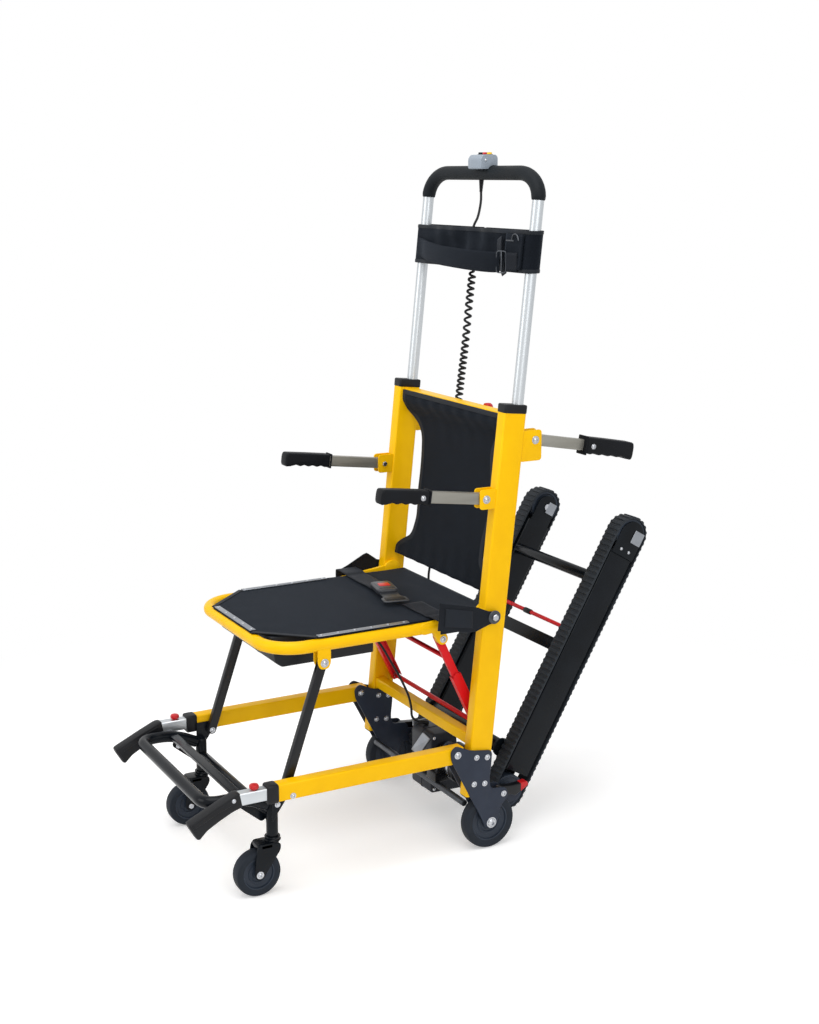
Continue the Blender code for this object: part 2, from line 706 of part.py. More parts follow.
def carry_handles(frame, bodies):
    """Flat bar and moulded grip, front and rear."""
    bar_x = (UPRIGHT_X - CARRY_BAR_WIDTH / 2, UPRIGHT_X + CARRY_BAR_WIDTH / 2)
    outer = OUTER_FACE + CARRY_GRIP_PROUD
    for kind, pivot, tilt, bar_height, grip_size in (
            ("front", FRONT_CARRY_PIVOT, math.pi - FRONT_CARRY_TILT, FRONT_CARRY_BAR_HEIGHT, FRONT_CARRY_GRIP),
            ("rear", REAR_CARRY_PIVOT, REAR_CARRY_TILT, REAR_CARRY_BAR_HEIGHT, REAR_CARRY_GRIP)):
        start = grip_size["start"]
        bar = plate(link_outline(pivot, aimed_point(pivot, tilt, start), bar_height * 0.44), bar_x)
        grip_half = grip_size["height"] / 2
        grip_x = (outer - grip_size["width"], outer)
        end = start + grip_size["length"]
        sides = ((start, 0.8), (start + 0.010, 0.92), (end - 0.012, 1.0), (end, 0.82))
        corners = [(s, grip_half * k) for s, k in sides] + [(s, -grip_half * k) for s, k in reversed(sides)]
        grip = plate(around(pivot, tilt, corners), grip_x)
        soften = grip.modifiers.new("round", "BEVEL")
        soften.width = 0.009
        soften.segments = 3
        soften.limit_method = "ANGLE"
        soften.angle_limit = math.radians(60)
        bake(grip)
        made = combine([bar, grip])
        both_sides("carry_handle_" + kind, made, bodies[kind], "black_rubber")


def rear_wheels(bodies):
    """Solid tyre on a hub that turns on the plates' axle."""
    half = WHEEL_WIDTH / 2
    crown = [(WHEEL_R - 0.005, -half), (WHEEL_R, -half * 0.55), (WHEEL_R, half * 0.55), (WHEEL_R - 0.005, half)]
    web = half * 0.6
    hub = [(0.045, half), (0.043, web), (0.020, web), (0.018, half - 0.001), (AXLE_R + PLAY, half - 0.001)]
    profile = crown + hub + [(radius, -along) for radius, along in reversed(hub)]
    made = turned(profile, UPRIGHT_X, (0.0, WHEEL_R), 28)
    both_sides("rear_wheel", made, bodies, "black_rubber")


def brake_pedals(bodies):
    """Red foot lever on the plates' spacer."""
    x = (UPRIGHT_X - 0.009, UPRIGHT_X + 0.009)
    lever = plate(BRAKE_PEDAL, x)
    hole = rod((x[0] - 0.01, x[1] + 0.01), BRAKE_PIVOT, BRAKE_SPACER_R + CLEAR, 24)
    both_sides("brake_pedal", combine([lever], [hole]), bodies, "red_plastic")


# Stair tracks

def track_frame(body):
    """Hollow rails inside the belts, their inner plates and the cross members."""
    low, high = TRACK_RAIL_INSET, TRACK_LENGTH - TRACK_RAIL_INSET
    half = TRACK_RAIL_HALF
    inner_x = TRACK_INNER_X
    outer_x = TRACK_X + TRACK_BELT_WIDTH / 2 - 0.002
    wall = TRACK_RAIL_WALL
    shapes, cuts = [], []
    for side in (-1, 1):
        def span(a, b):
            return tuple(sorted((side * a, side * b)))
        corners = [track_point(s, n) for s, n in ((low, -half), (low, half), (high, half), (high, -half))]
        shapes.append(plate(corners, span(inner_x, outer_x)))
        deep = half - wall
        hollow = [track_point(s, n) for s, n in
                  ((low - 0.01, -deep), (low - 0.01, deep), (high + 0.01, deep), (high + 0.01, -deep))]
        cuts.append(plate(hollow, span(inner_x + TRACK_PLATE_THICK + 0.001, outer_x - wall)))
        cheek = link_outline(track_point(0), track_point(TRACK_LENGTH), TRACK_PLATE_R)
        shapes.append(plate(cheek, span(inner_x + 0.0004, inner_x + TRACK_PLATE_THICK)))
        ear = link_outline(track_point(0.040), track_point(*LOWER_TUBE), 0.022)
        shapes.append(plate(ear, span(inner_x + 0.0002, inner_x + TRACK_PLATE_THICK - 0.0006)))
        for along in (0.0, TRACK_LENGTH):
            cuts.append(rod(span(inner_x - 0.01, inner_x + 0.012), track_point(along),
                            TRACK_SHAFT_R + PLAY, 24))
    reach = inner_x + 0.002
    shapes.append(rod((-reach, reach), track_point(*UPPER_TUBE), UPPER_TUBE_R))
    shapes.append(rod((-reach, reach), track_point(*LOWER_TUBE), LOWER_TUBE_R))
    s, n = FLAT_BAR
    a, b = FLAT_BAR_SIZE[0] / 2, FLAT_BAR_SIZE[1] / 2
    corners = [track_point(s + i, n + j) for i, j in ((-a, -b), (-a, b), (a, b), (a, -b))]
    shapes.append(plate(corners, (-reach, reach)))
    finish("track_frame", combine(shapes, cuts), body, "black_paint")


def track_belts(body):
    """Closed ribbed belts round the pulleys."""
    x = (TRACK_X - TRACK_BELT_WIDTH / 2, TRACK_X + TRACK_BELT_WIDTH / 2)
    outer = plate(link_outline(track_point(0), track_point(TRACK_LENGTH), BELT_OUTER_R, 12), x)
    inner = plate(link_outline(track_point(0), track_point(TRACK_LENGTH), BELT_INNER_R, 12),
                  (x[0] - 0.01, x[1] + 0.01))
    both_sides("track_belt", combine([outer], [inner]), (body, body), "black_rubber")


def track_rollers(shaft_body, idler_bodies):
    """Drive shaft with its two pulleys at the foot, and an idler on its axle at each top."""
    radius = BELT_INNER_R - PLAY
    half = TRACK_BELT_WIDTH / 2 - 0.001
    inner_x = TRACK_INNER_X
    reach = INNER_FACE - 0.001
    shapes = [rod((-reach, reach), TRACK_PIVOT, TRACK_SHAFT_R)]
    for side in (-1, 1):
        centre = side * TRACK_X
        shapes.append(rod((centre - half, centre + half), TRACK_PIVOT, radius, 24))
    finish("track_shaft", combine(shapes), shaft_body, "black_nylon")
    top = track_point(TRACK_LENGTH)
    axle = rod((inner_x - 0.003, TRACK_X + half + 0.004), top, TRACK_SHAFT_R)
    wheel = rod((TRACK_X - half, TRACK_X + half), top, radius, 24)
    both_sides("track_idler", combine([wheel, axle]), idler_bodies, "black_nylon")


def lock_bar(body):
    """Red rod whose ends turn down to the flat cross member."""
    s, n = FLAT_BAR
    foot = n - FLAT_BAR_SIZE[1] / 2 - LOCK_BAR_R - CLEAR
    low, high = track_point(s, foot), track_point(s + LOCK_BAR_UP, foot)
    points = [(-LOCK_BAR_X, *low), (-LOCK_BAR_X, *high), (LOCK_BAR_X, *high), (LOCK_BAR_X, *low)]
    finish("track_lock_bar", tube(rounded(points, 0.014, 4), LOCK_BAR_R, 3), body, "red_paint")


# Push handle

def handle_path(foot_z):
    """The bow's centre line from a height on one tube over the top to the same height on the other."""
    wide, tall = HANDLE_CORNER
    steps = 5
    half = [(HANDLE_X, *upright_at(foot_z, HANDLE_BEHIND))]
    for step in range(steps + 1):
        angle = math.pi / 2 * step / steps
        z = HANDLE_TOP_Z - tall * (1 - math.sin(angle))
        half.append((HANDLE_X - wide * (1 - math.cos(angle)), *upright_at(z, HANDLE_BEHIND)))
    return half + [(-x, y, z) for x, y, z in reversed(half)]


def push_handle(body):
    """Bent tube, its foam cover and the head band round both tubes."""
    path = handle_path(HANDLE_FOOT_Z)
    finish("handle_tube", tube(path, HANDLE_TUBE_R), body, "bare_aluminium")
    foam = tube(handle_path(FOAM_END_Z), FOAM_R)
    core = tube(path, HANDLE_TUBE_R + CLEAR)
    finish("handle_grip", combine([foam], [core]), body, "foam")

    half_x = HANDLE_X + HANDLE_TUBE_R + PLAY
    half_y = BAND_DEPTH / 2
    low, high = upright_at(BAND_LOW_Z, HANDLE_BEHIND), upright_at(BAND_HIGH_Z, HANDLE_BEHIND)
    ring = []
    for grow, stretch in ((BAND_THICK, 0.0), (0.0, 0.01)):
        x, y = half_x + grow, half_y - BAND_THICK + grow
        corners = [(low[0] - y, low[1] - stretch), (low[0] + y, low[1] - stretch),
                   (high[0] + y, high[1] + stretch), (high[0] - y, high[1] + stretch)]
        slope = math.tan(LEAN) * stretch
        corners = [(yy + (slope if zz > high[1] - 0.02 else -slope), zz) for yy, zz in corners]
        ring.append(plate(corners, (-x, x)))
    finish("head_band", combine([ring[0]], [ring[1]]), body, "sling_fabric")


def control_box(body, button_bodies):
    """Switch housing clipped over the bow, with three push buttons."""
    y, z = upright_at(HANDLE_TOP_Z, HANDLE_BEHIND)
    case = box(BOX_X, (y - BOX_FRONT, y + BOX_BACK), (BOX_LOW_Z, BOX_TOP_Z))
    beyond = (BOX_X[0] - 0.01, BOX_X[1] + 0.01)
    cut = rod(beyond, (y, z), FOAM_R + CLEAR, 32)
    row_y = y - 0.006
    well_floor = BOX_TOP_Z + BUTTON_PROUD - BUTTON_HEIGHT - BUTTON_TRAVEL - CLEAR
    wells = []
    for name, x in BUTTON_X.items():
        wells.append(post((x, row_y), BUTTON_R + CLEAR, (well_floor, BOX_TOP_Z + 0.01), 20))
    finish("control_box", combine([case], [cut] + wells), body, "grey_plastic")
    looks = {"dark": "black_nylon", "red": "red_plastic", "yellow": "yellow_plastic"}
    for name, x in BUTTON_X.items():
        top = BOX_TOP_Z + BUTTON_PROUD
        cap = post((x, row_y), BUTTON_R, (top - BUTTON_HEIGHT, top), 20)
        finish("button_" + name, cap, button_bodies[name], looks[name])


def release_knob(body):
    """Pull knob behind the top bar that frees the handle tubes."""
    y, z = upright_at(BACK_TOP_Z + CLEAR + TOP_BAR_HEIGHT / 2)
    face = y + TOP_BAR_DEPTH / 2 + PLAY
    bm = bmesh.new()
    bmesh.ops.create_cone(bm, cap_ends=True, segments=20, radius1=RELEASE_R, radius2=RELEASE_R * 0.85,
                          depth=RELEASE_LENGTH)
    turn = Matrix.Translation((RELEASE_X, face + RELEASE_LENGTH / 2, z)) @ Matrix.Rotation(
        math.radians(-90), 4, "X")
    bmesh.ops.transform(bm, matrix=turn, verts=bm.verts)
    finish("handle_release_knob", raw(bm), body, "red_plastic")


# Seat

def seat_frame(body):
    """Bent loop with hinge plates, brace lugs and the struts' ears."""
    rear, front = SEAT_TUBE_REAR_Y, SEAT_FRONT_Y
    x, z = SEAT_TUBE_X, SEAT_TUBE_Z
    points = [(x, rear, z), (x, front, z), (-x, front, z), (-x, rear, z)]
    shapes = [tube(rounded(points, SEAT_CORNER_R, 5), SEAT_TUBE_R)]
    plate_x = (INNER_FACE - PLAY - HINGE_THICK, INNER_FACE - PLAY)
    y, z = STRUT_TOP
    ear_top = SEAT_TUBE_Z - EAR_DROP
    ear = [(y - 0.015, z - 0.004), (y - 0.008, z - 0.014), (y + 0.008, z - 0.014), (y + 0.015, z - 0.004),
           (y + 0.015, ear_top), (y - 0.015, ear_top)]
    for side in (-1, 1):
        def span(a, b):
            return tuple(sorted((side * a, side * b)))
        shapes.append(plate(link_outline(SEAT_PIVOT, (rear - 0.030, SEAT_TUBE_Z + 0.0005), 0.0128),
                            span(*plate_x)))
        shapes.append(rod(span(plate_x[0] + 0.0002, plate_x[1] - 0.0002), SEAT_PIVOT, HINGE_R))
        shapes.append(plate(link_outline((rear, SEAT_TUBE_Z), BRACE_LUG, LUG_R),
                            span(INNER_FACE - PLAY - LUG_LENGTH, plate_x[1] - 0.0003)))
        outer = INNER_FACE - PLAY
        inner = STRUT_X - STRUT_THICK / 2 - PLAY
        shapes.append(plate(ear, span(outer - EAR_THICK, outer - 0.0001)))
        shapes.append(plate(ear, span(inner - EAR_THICK, inner)))
        shapes.append(rod(span(inner - 0.002, outer - 0.001), STRUT_TOP, STRUT_PIN_R, 20))
    finish("seat_frame", combine(shapes), body, "yellow_paint")


def seat_sling(body):
    """Flat fabric that lies on the loop's tube, cut off at its front corners."""
    cut_x, cut_y = SEAT_SLING_CUT
    side = [(SEAT_TUBE_X, SEAT_SLING_REAR_Y), (SEAT_TUBE_X, cut_y), (cut_x, SEAT_SLING_FRONT_Y)]
    middle = SEAT_SLING_TOP_Z - SEAT_SLING_THICK / 2
    pad = slab(side + [(-x, y) for x, y in reversed(side)], middle, SEAT_SLING_THICK)
    finish("seat_sling", pad, body, "sling_fabric")


def battery_box(body):
    """Black case under the seat with a raked front."""
    top = SEAT_SLING_TOP_Z - SEAT_SLING_THICK - CLEAR
    front = SEAT_FRONT_Y + SEAT_TUBE_R + BATTERY_GAP
    outline = [(BATTERY_REAR_Y, BATTERY_LOW_Z), (BATTERY_REAR_Y, top), (front, top),
               (front + 0.010, BATTERY_LOW_Z + 0.011), (front + 0.025, BATTERY_LOW_Z)]
    finish("battery_box", plate(outline, (-BATTERY_X, BATTERY_X)), body, "black_nylon")


def seat_belts(body):
    """Outer panel bolted at the seat pivot, and webbing that turns in over the seat."""
    x = (BELT_X, BELT_X + BELT_THICK)
    y0, y1 = BELT_PANEL_Y
    z0, z1 = BELT_PANEL_Z
    sy, sz = SEAT_PIVOT
    shape = [(y0, z0 + 0.010), (y0 + 0.012, z0), (y1, z0), (sy - 0.018, sz - 0.016), (sy + 0.010, sz - 0.015),
             (sy + 0.017, sz), (sy + 0.010, sz + 0.015), (sy - 0.018, sz + 0.014), (y1, z1 - 0.006), (y0, z1)]
    panel = plate(shape, x)
    boss = rod((OUTER_FACE + PLAY, x[1] + 0.001), SEAT_PIVOT, 0.010)
    lie = SEAT_SLING_TOP_Z + PLAY
    over = SEAT_TUBE_Z + SEAT_TUBE_R + PLAY
    for side, end, name in ((1, 0.098, "seat_belt_left"), (-1, 0.062, "seat_belt_right")):
        run = [(end, lie), (0.193, lie), (0.205, over + 0.0083),
               (0.232, over + 0.0083), (x[0] - 0.004, over + 0.0075), (x[0] + 0.0005, over + 0.002),
               (x[0] + 0.0005, z0 + 0.012)]
        ribbon = sheet(strip_outline(run, BELT_THICK), (y0 - 0.004, y0 - 0.004 + BELT_WIDTH))
        if side > 0:
            left_panel, left_boss = panel.copy(), boss.copy()
            for piece, source in ((left_panel, panel), (left_boss, boss)):
                piece.data = source.data.copy()
                WORK.objects.link(piece)
            finish(name, combine([left_panel, ribbon, left_boss]), body, "webbing")
        else:
            made = combine([panel, ribbon, boss])
            made.data.transform(Matrix.Scale(-1.0, 4, (1, 0, 0)))
            made.data.flip_normals()
            finish(name, made, body, "webbing")


def belt_buckle(body, button_body):
    """Buckle case with its slotted tongue, and the release button."""
    low = SEAT_SLING_TOP_Z + BELT_THICK + 2 * PLAY
    long, wide, tall = BUCKLE_CASE
    case = box((-long, 0.0), (-wide / 2, wide / 2), (low, low + tall))
    tongue = box((-0.004, TONGUE[0]), (-TONGUE[1] / 2, TONGUE[1] / 2), (low + 0.002, low + 0.002 + TONGUE[2]))
    slot = box((TONGUE[0] - 0.026, TONGUE[0] - 0.014), (-0.024, 0.024), (low - 0.01, low + 0.02))
    centre_x = -long / 2
    well = box((centre_x - 0.012, centre_x + 0.012), (-0.014, 0.014),
               (low + tall - 0.006, low + tall + 0.01))
    place = Matrix.Translation((*BUCKLE_CENTRE, 0.0)) @ Matrix.Rotation(BUCKLE_YAW, 4, "Z")
    made = combine([case, tongue], [slot, well])
    made.data.transform(place)
    finish("belt_buckle", made, body, "grey_plastic")
    button = box((centre_x - 0.012 + CLEAR, centre_x + 0.012 - CLEAR), (-0.014 + CLEAR, 0.014 - CLEAR),
                 (low + tall - 0.0035, low + tall + 0.0015))
    button.data.transform(place)
    finish("buckle_button", button, button_body, "red_plastic")


# Front: struts, rails, casters

def struts(body):
    """Flat links from the seat's ears to the rails."""
    half = STRUT_THICK / 2
    x = (STRUT_X - half, STRUT_X + half)
    link = plate(link_outline(STRUT_FOOT, STRUT_TOP, STRUT_DEPTH / 2), x)
    hole = rod((x[0] - 0.01, x[1] + 0.01), STRUT_TOP, STRUT_PIN_R + CLEAR, 24)
    both_sides("strut", combine([link], [hole]), (body, body), "black_paint")


def rails(body):
    """Hollow side rails with a black sleeve at the front and a hole for the frame's pin."""
    half = RAIL_HEIGHT / 2
    z = (RAIL_Z - half, RAIL_Z + half)
    outer = box((INNER_FACE, OUTER_FACE), (RAIL_FRONT_Y, RAIL_REAR_Y), z)
    wall = RAIL_WALL
    grow = SLEEVE_WALL
    sleeve = box((INNER_FACE - 0.0004, OUTER_FACE + grow), (RAIL_FRONT_Y - SLEEVE_LENGTH, RAIL_FRONT_Y + 0.001),
                 (z[0] - grow, z[1] + grow))
    cavity = box((INNER_FACE + wall, OUTER_FACE - wall), (RAIL_FRONT_Y + 0.010, RAIL_PIVOT[0] - 0.030),
                 (z[0] + wall, z[1] - wall))
    across = LIFT_TUBE_WIDTH / 2 + CLEAR
    upward = LIFT_TUBE_HEIGHT / 2 + CLEAR
    mouth = box((UPRIGHT_X - across, UPRIGHT_X + across), (RAIL_FRONT_Y - 0.05, RAIL_FRONT_Y + 0.011),
                (LIFT_TUBE_Z - upward, LIFT_TUBE_Z + upward))
    hole = rod((INNER_FACE - 0.01, OUTER_FACE + 0.01), RAIL_PIVOT, RAIL_PIN_R + CLEAR, 24)
    both_sides("rail", combine([outer, sleeve], [cavity, mouth, hole]), (body, body), "yellow_paint")


def lift_handles(bodies, knob_bodies):
    """Telescoping tube with a raked moulded grip, and its plunger knob."""
    half = LIFT_TUBE_WIDTH / 2
    height = LIFT_TUBE_HEIGHT / 2
    bar = box((UPRIGHT_X - half, UPRIGHT_X + half), (LIFT_TUBE_FRONT_Y, LIFT_TUBE_FRONT_Y + LIFT_TUBE_LENGTH),
              (LIFT_TUBE_Z - height, LIFT_TUBE_Z + height))
    grip_x = (UPRIGHT_X - LIFT_GRIP_WIDTH / 2, UPRIGHT_X + LIFT_GRIP_WIDTH / 2)
    grip = plate(LIFT_GRIP, grip_x)
    both_sides("lift_handle", combine([bar, grip]), bodies, "bare_aluminium")
    top = LIFT_TUBE_Z + height + CLEAR
    knob = post((UPRIGHT_X, KNOB_Y), KNOB_R, (top, top + KNOB_HEIGHT), 20)
    both_sides("lift_knob", knob, knob_bodies, "red_plastic")


def caster_carrier(body):
    """Swivel stems joined by a cross tube and held to the rails by gussets."""
    shapes = []
    for side in (-1, 1):
        def span(a, b):
            return tuple(sorted((side * a, side * b)))
        shapes.append(post((side * STEM_X, STEM_Y), STEM_R, (FORK_TOP_Z + PLAY, STEM_TOP_Z)))
        outer = INNER_FACE - PLAY - CLEAR
        gusset = [(STEM_Y - 0.006, CARRIER_TUBE_Z - 0.006), (STEM_Y + 0.040, RAIL_Z - 0.011),
                  (STEM_Y + 0.034, RAIL_Z + 0.002), (STEM_Y - 0.006, RAIL_Z + 0.002)]
        shapes.append(plate(gusset, span(outer - GUSSET_THICK, outer)))
    shapes.append(rod((-STEM_X, STEM_X), (STEM_Y, CARRIER_TUBE_Z), CARRIER_TUBE_R, 20))
    finish("caster_carrier", combine(shapes), body, "black_paint")


def footrest(body):
    """Bent foot loop in front of the stems, with a cross tube."""
    x = STEM_X
    back = STEM_Y - STEM_R - PLAY
    y, z = FOOT_BAR
    half = [(x, STEM_Y, FOOT_ARM_Z), (x, y + FOOT_BEND, z), (x, y, z)]
    points = half + [(-a, b, c) for a, b, c in reversed(half)]
    loop = tube(rounded(points, 0.034, 4), FOOT_TUBE_R, 3)
    cross = rod((-x, x), FOOT_CROSS, FOOT_CROSS_R, 16)
    behind = box((-2 * x, 2 * x), (back, back + 2 * x), (0.0, 2 * x))
    finish("footrest", combine([loop, cross], [behind]), body, "black_paint")


def casters(fork_bodies, wheel_bodies):
    """Forked swivel and its wheel."""
    half = CASTER_WIDTH / 2 + PLAY
    outer = half + FORK_CHEEK
    top = FORK_TOP_Z - FORK_CUP_HEIGHT
    low = top - FORK_CROWN
    crown = box((STEM_X - outer, STEM_X + outer), (STEM_Y - 0.040, STEM_Y + 0.012), (low, top))
    shapes = [crown, post((STEM_X, STEM_Y), FORK_CUP_R, (top - 0.001, FORK_TOP_Z))]
    cheek = [(STEM_Y + 0.011, top - 0.003), (STEM_Y + 0.011, low - 0.006), (CASTER_Y + 0.011, CASTER_R - 0.004),
             (CASTER_Y + 0.004, CASTER_R - 0.011), (CASTER_Y - 0.006, CASTER_R - 0.010),
             (CASTER_Y - 0.011, CASTER_R), (STEM_Y - 0.044, low - 0.008), (STEM_Y - 0.0395, top - 0.003)]
    for side in (-1, 1):
        x = tuple(sorted((STEM_X + side * half, STEM_X + side * (outer - 0.0003))))
        shapes.append(plate(cheek, x))
    centre = (CASTER_Y, CASTER_R)
    shapes.append(rod((STEM_X - outer + 0.001, STEM_X + outer - 0.001), centre, CASTER_AXLE_R, 20))
    both_sides("caster_fork", combine(shapes), fork_bodies, "black_paint")
    wide = CASTER_WIDTH / 2
    r = CASTER_R
    crown_profile = [(r - 0.005, -wide), (r, -wide * 0.5), (r, wide * 0.5), (r - 0.005, wide)]
    hub = [(0.034, wide * 0.7), (0.016, wide * 0.7), (0.014, wide), (CASTER_AXLE_R + PLAY, wide)]
    profile = crown_profile + hub + [(radius, -along) for radius, along in reversed(hub)]
    both_sides("caster_wheel", turned(profile, STEM_X, centre), wheel_bodies, "black_rubber")


# Fold braces

def brace_line():
    """Direction from a brace's foot to its lug, and the angle of that line."""
    y, z = BRACE_LUG[0] - BRACE_FOOT[0], BRACE_LUG[1] - BRACE_FOOT[1]
    return math.atan2(z, y), math.hypot(y, z)


def braces(lower_body, upper_body):
    """Channels on a cross rod at the frame, and bars with their own cross rod that slide in them."""
    tilt, reach = brace_line()
    bar_half, wall = BRACE_BAR_HALF, BRACE_CHANNEL_WALL
    bar_x = (BRACE_X - BRACE_BAR_THICK / 2, BRACE_X + BRACE_BAR_THICK / 2)
    floor = (bar_x[1] + CLEAR, bar_x[1] + CLEAR + 0.0025)
    lower, upper = [], []
    for side in (-1, 1):
        def span(a, b):
            return tuple(sorted((side * a, side * b)))
        wide = bar_half + CLEAR + wall
        corners = [(-0.009, -wide), (BRACE_CHANNEL_LENGTH, -wide), (BRACE_CHANNEL_LENGTH, wide), (-0.009, wide)]
        lower.append(plate(around(BRACE_FOOT, tilt, corners), span(*floor)))
        for edge in (-1, 1):
            near, far = edge * (bar_half + CLEAR), edge * (wide - 0.0001)
            corners = [(-0.0088, near), (BRACE_CHANNEL_LENGTH - 0.0002, near),
                       (BRACE_CHANNEL_LENGTH - 0.0002, far), (-0.0088, far)]
            lower.append(plate(around(BRACE_FOOT, tilt, corners), span(bar_x[0], floor[1] - 0.0003)))
        start = BRACE_BAR_START + bar_half
        link = link_outline(aimed_point(BRACE_FOOT, tilt, start), BRACE_LUG, bar_half)
        upper.append(plate(link, span(*bar_x)))
    rod_reach = INNER_FACE - PLAY
    lower.append(rod((-rod_reach, rod_reach), BRACE_FOOT, BRACE_ROD_R, 16))
    cross = aimed_point(BRACE_FOOT, tilt, BRACE_CROSS_AT)
    upper.append(rod((-BRACE_X, BRACE_X), cross, BRACE_ROD_R, 16))
    finish("brace_lower", combine(lower), lower_body, "red_paint")
    finish("brace_upper", combine(upper), upper_body, "red_paint")


# Cords

def cords(handle, frame, seat):
    """Control lead, its curly stretch, the tail to the battery and the motor's lead."""
    for name, route, count, radius, detail, body in (
            ("control_lead", LEAD_ROUTE, 16, LEAD_R, 2, handle),
            ("control_coil", COIL_ROUTE, 22, COIL_R, 2, handle),
            ("control_tail", TAIL_ROUTE, 24, LEAD_R, 2, frame),
            ("motor_lead", MOTOR_ROUTE, 26, LEAD_R, 2, frame)):
        finish(name, tube(smooth_route(route, count), radius, detail), body, "black_rubber")


def point3(pair, x=0.0):
    """A (y, z) pair at a distance x from the middle plane."""
    return x, pair[0], pair[1]


def chair():
    """Every piece, hung on the empties of its joints."""
    front = min(y for y, z in LIFT_GRIP)
    rear = track_point(TRACK_LENGTH)[0] + BELT_OUTER_R
    frame = body_at("frame", (0.0, 0.0, 0.0))
    frame["empty"].location = (0.0, -(front + rear) / 2, 0.0)
    seat = body_at("seat", point3(SEAT_PIVOT), frame)
    strut_body = body_at("struts", point3(STRUT_TOP), seat)
    rail_body = body_at("rails", point3(RAIL_PIVOT), frame)
    brace_foot = body_at("brace_lower", point3(BRACE_FOOT), frame)
    brace_bar = body_at("brace_upper", point3(BRACE_FOOT), brace_foot)
    tracks = body_at("tracks", point3(TRACK_PIVOT), frame)
    shaft = body_at("track_shaft", point3(TRACK_PIVOT), tracks)
    s, n = FLAT_BAR
    lock = body_at("track_lock", point3(track_point(s, n - FLAT_BAR_SIZE[1] / 2 - LOCK_BAR_R - CLEAR)), tracks)
    handle = body_at("push_handle", point3(upright_at(UPRIGHT_TOP_Z, HANDLE_BEHIND)), frame)
    buttons = {name: body_at("button_" + name, (x, 0.1, BOX_TOP_Z), handle) for name, x in BUTTON_X.items()}
    knob = body_at("handle_release", point3(upright_at(BACK_TOP_Z), RELEASE_X), frame)
    buckle = body_at("buckle_button", (*BUCKLE_CENTRE, SEAT_TUBE_Z), seat)

    def pair(name, pivot, x, parents):
        sides = ((1, "left"), (-1, "right"))
        return tuple(body_at(name + "_" + word, point3(pivot, side * x), parent)
                     for (side, word), parent in zip(sides, parents))

    base = (frame, frame)
    wheels = pair("rear_wheel", (0.0, WHEEL_R), UPRIGHT_X, base)
    brakes = pair("brake", BRAKE_PIVOT, UPRIGHT_X, base)
    carry = {"front": pair("carry_front", FRONT_CARRY_PIVOT, UPRIGHT_X, base),
             "rear": pair("carry_rear", REAR_CARRY_PIVOT, UPRIGHT_X, base)}
    idlers = pair("track_idler", track_point(TRACK_LENGTH), TRACK_X, (tracks, tracks))
    lifts = pair("lift", (RAIL_FRONT_Y, LIFT_TUBE_Z), UPRIGHT_X, (rail_body, rail_body))
    knobs = pair("lift_knob", (KNOB_Y, LIFT_TUBE_Z), UPRIGHT_X, lifts)
    forks = pair("caster_fork", (STEM_Y, FORK_TOP_Z), STEM_X, (rail_body, rail_body))
    rollers = pair("caster_wheel", (CASTER_Y, CASTER_R), STEM_X, forks)

    uprights(frame)
    back_rest(frame)
    wheel_plates(frame)
    tie_bar(frame)
    drive(frame)
    carry_handles(frame, carry)
    rear_wheels(wheels)
    brake_pedals(brakes)
    track_frame(tracks)
    track_belts(tracks)
    track_rollers(shaft, idlers)
    lock_bar(lock)
    push_handle(handle)
    control_box(handle, buttons)
    release_knob(knob)
    seat_frame(seat)
    seat_sling(seat)
    battery_box(seat)
    seat_belts(seat)
    belt_buckle(seat, buckle)
    struts(strut_body)
    rails(rail_body)
    lift_handles(lifts, knobs)
    caster_carrier(rail_body)
    footrest(rail_body)
    casters(forks, rollers)
    braces(brace_foot, brace_bar)
    cords(handle, frame, seat)


clear_scene()
CHAIR = collection("evacuation_chair")
WORK = collection("cutters")
chair()
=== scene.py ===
"""Looks of an electric evacuation chair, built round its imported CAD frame.

Metres; +X is the seated person's left and -Y is forwards. Points given as (y, z) pairs are measured from the
rear axle's line on the floor, the datum that the chair is set out from; placed() moves them into the frame.
"""

import math

import bmesh
import bpy
import numpy as np
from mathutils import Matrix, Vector


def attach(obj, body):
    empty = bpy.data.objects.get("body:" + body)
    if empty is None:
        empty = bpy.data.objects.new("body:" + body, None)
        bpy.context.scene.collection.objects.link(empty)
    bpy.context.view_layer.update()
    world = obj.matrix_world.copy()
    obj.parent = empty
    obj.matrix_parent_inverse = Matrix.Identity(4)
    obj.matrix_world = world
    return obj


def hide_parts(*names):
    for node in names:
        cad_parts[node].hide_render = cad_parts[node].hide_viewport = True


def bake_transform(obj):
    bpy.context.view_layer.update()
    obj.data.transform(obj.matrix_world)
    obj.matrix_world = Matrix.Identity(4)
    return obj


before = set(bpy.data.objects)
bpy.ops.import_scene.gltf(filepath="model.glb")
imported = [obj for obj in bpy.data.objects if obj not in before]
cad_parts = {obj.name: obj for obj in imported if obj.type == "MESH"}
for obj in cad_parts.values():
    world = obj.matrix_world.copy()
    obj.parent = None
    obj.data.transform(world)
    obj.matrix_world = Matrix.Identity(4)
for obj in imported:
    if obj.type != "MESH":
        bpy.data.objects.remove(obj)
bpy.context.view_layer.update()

# ---- Camera. The chair was photographed from its near front corner, at about the height of the push bow,
# with a lens a little longer than normal for a portrait frame.

HEADING, DIP = math.radians(61.3), math.radians(12.62)
# The lens as fitted: its focal length and the photograph's long side, both in pixels.
FOCAL_PIXELS, LONG_SIDE_PIXELS = 1514.6, 1024


def stand(name, data):
    """A new object of the given data, linked to the scene."""
    made = bpy.data.objects.new(name, data)
    bpy.context.scene.collection.objects.link(made)
    return made


def face(thing, way):
    """Turns a camera or lamp to look along way with its top upwards."""
    thing.rotation_mode = "QUATERNION"
    thing.rotation_quaternion = way.to_track_quat("-Z", "Y")


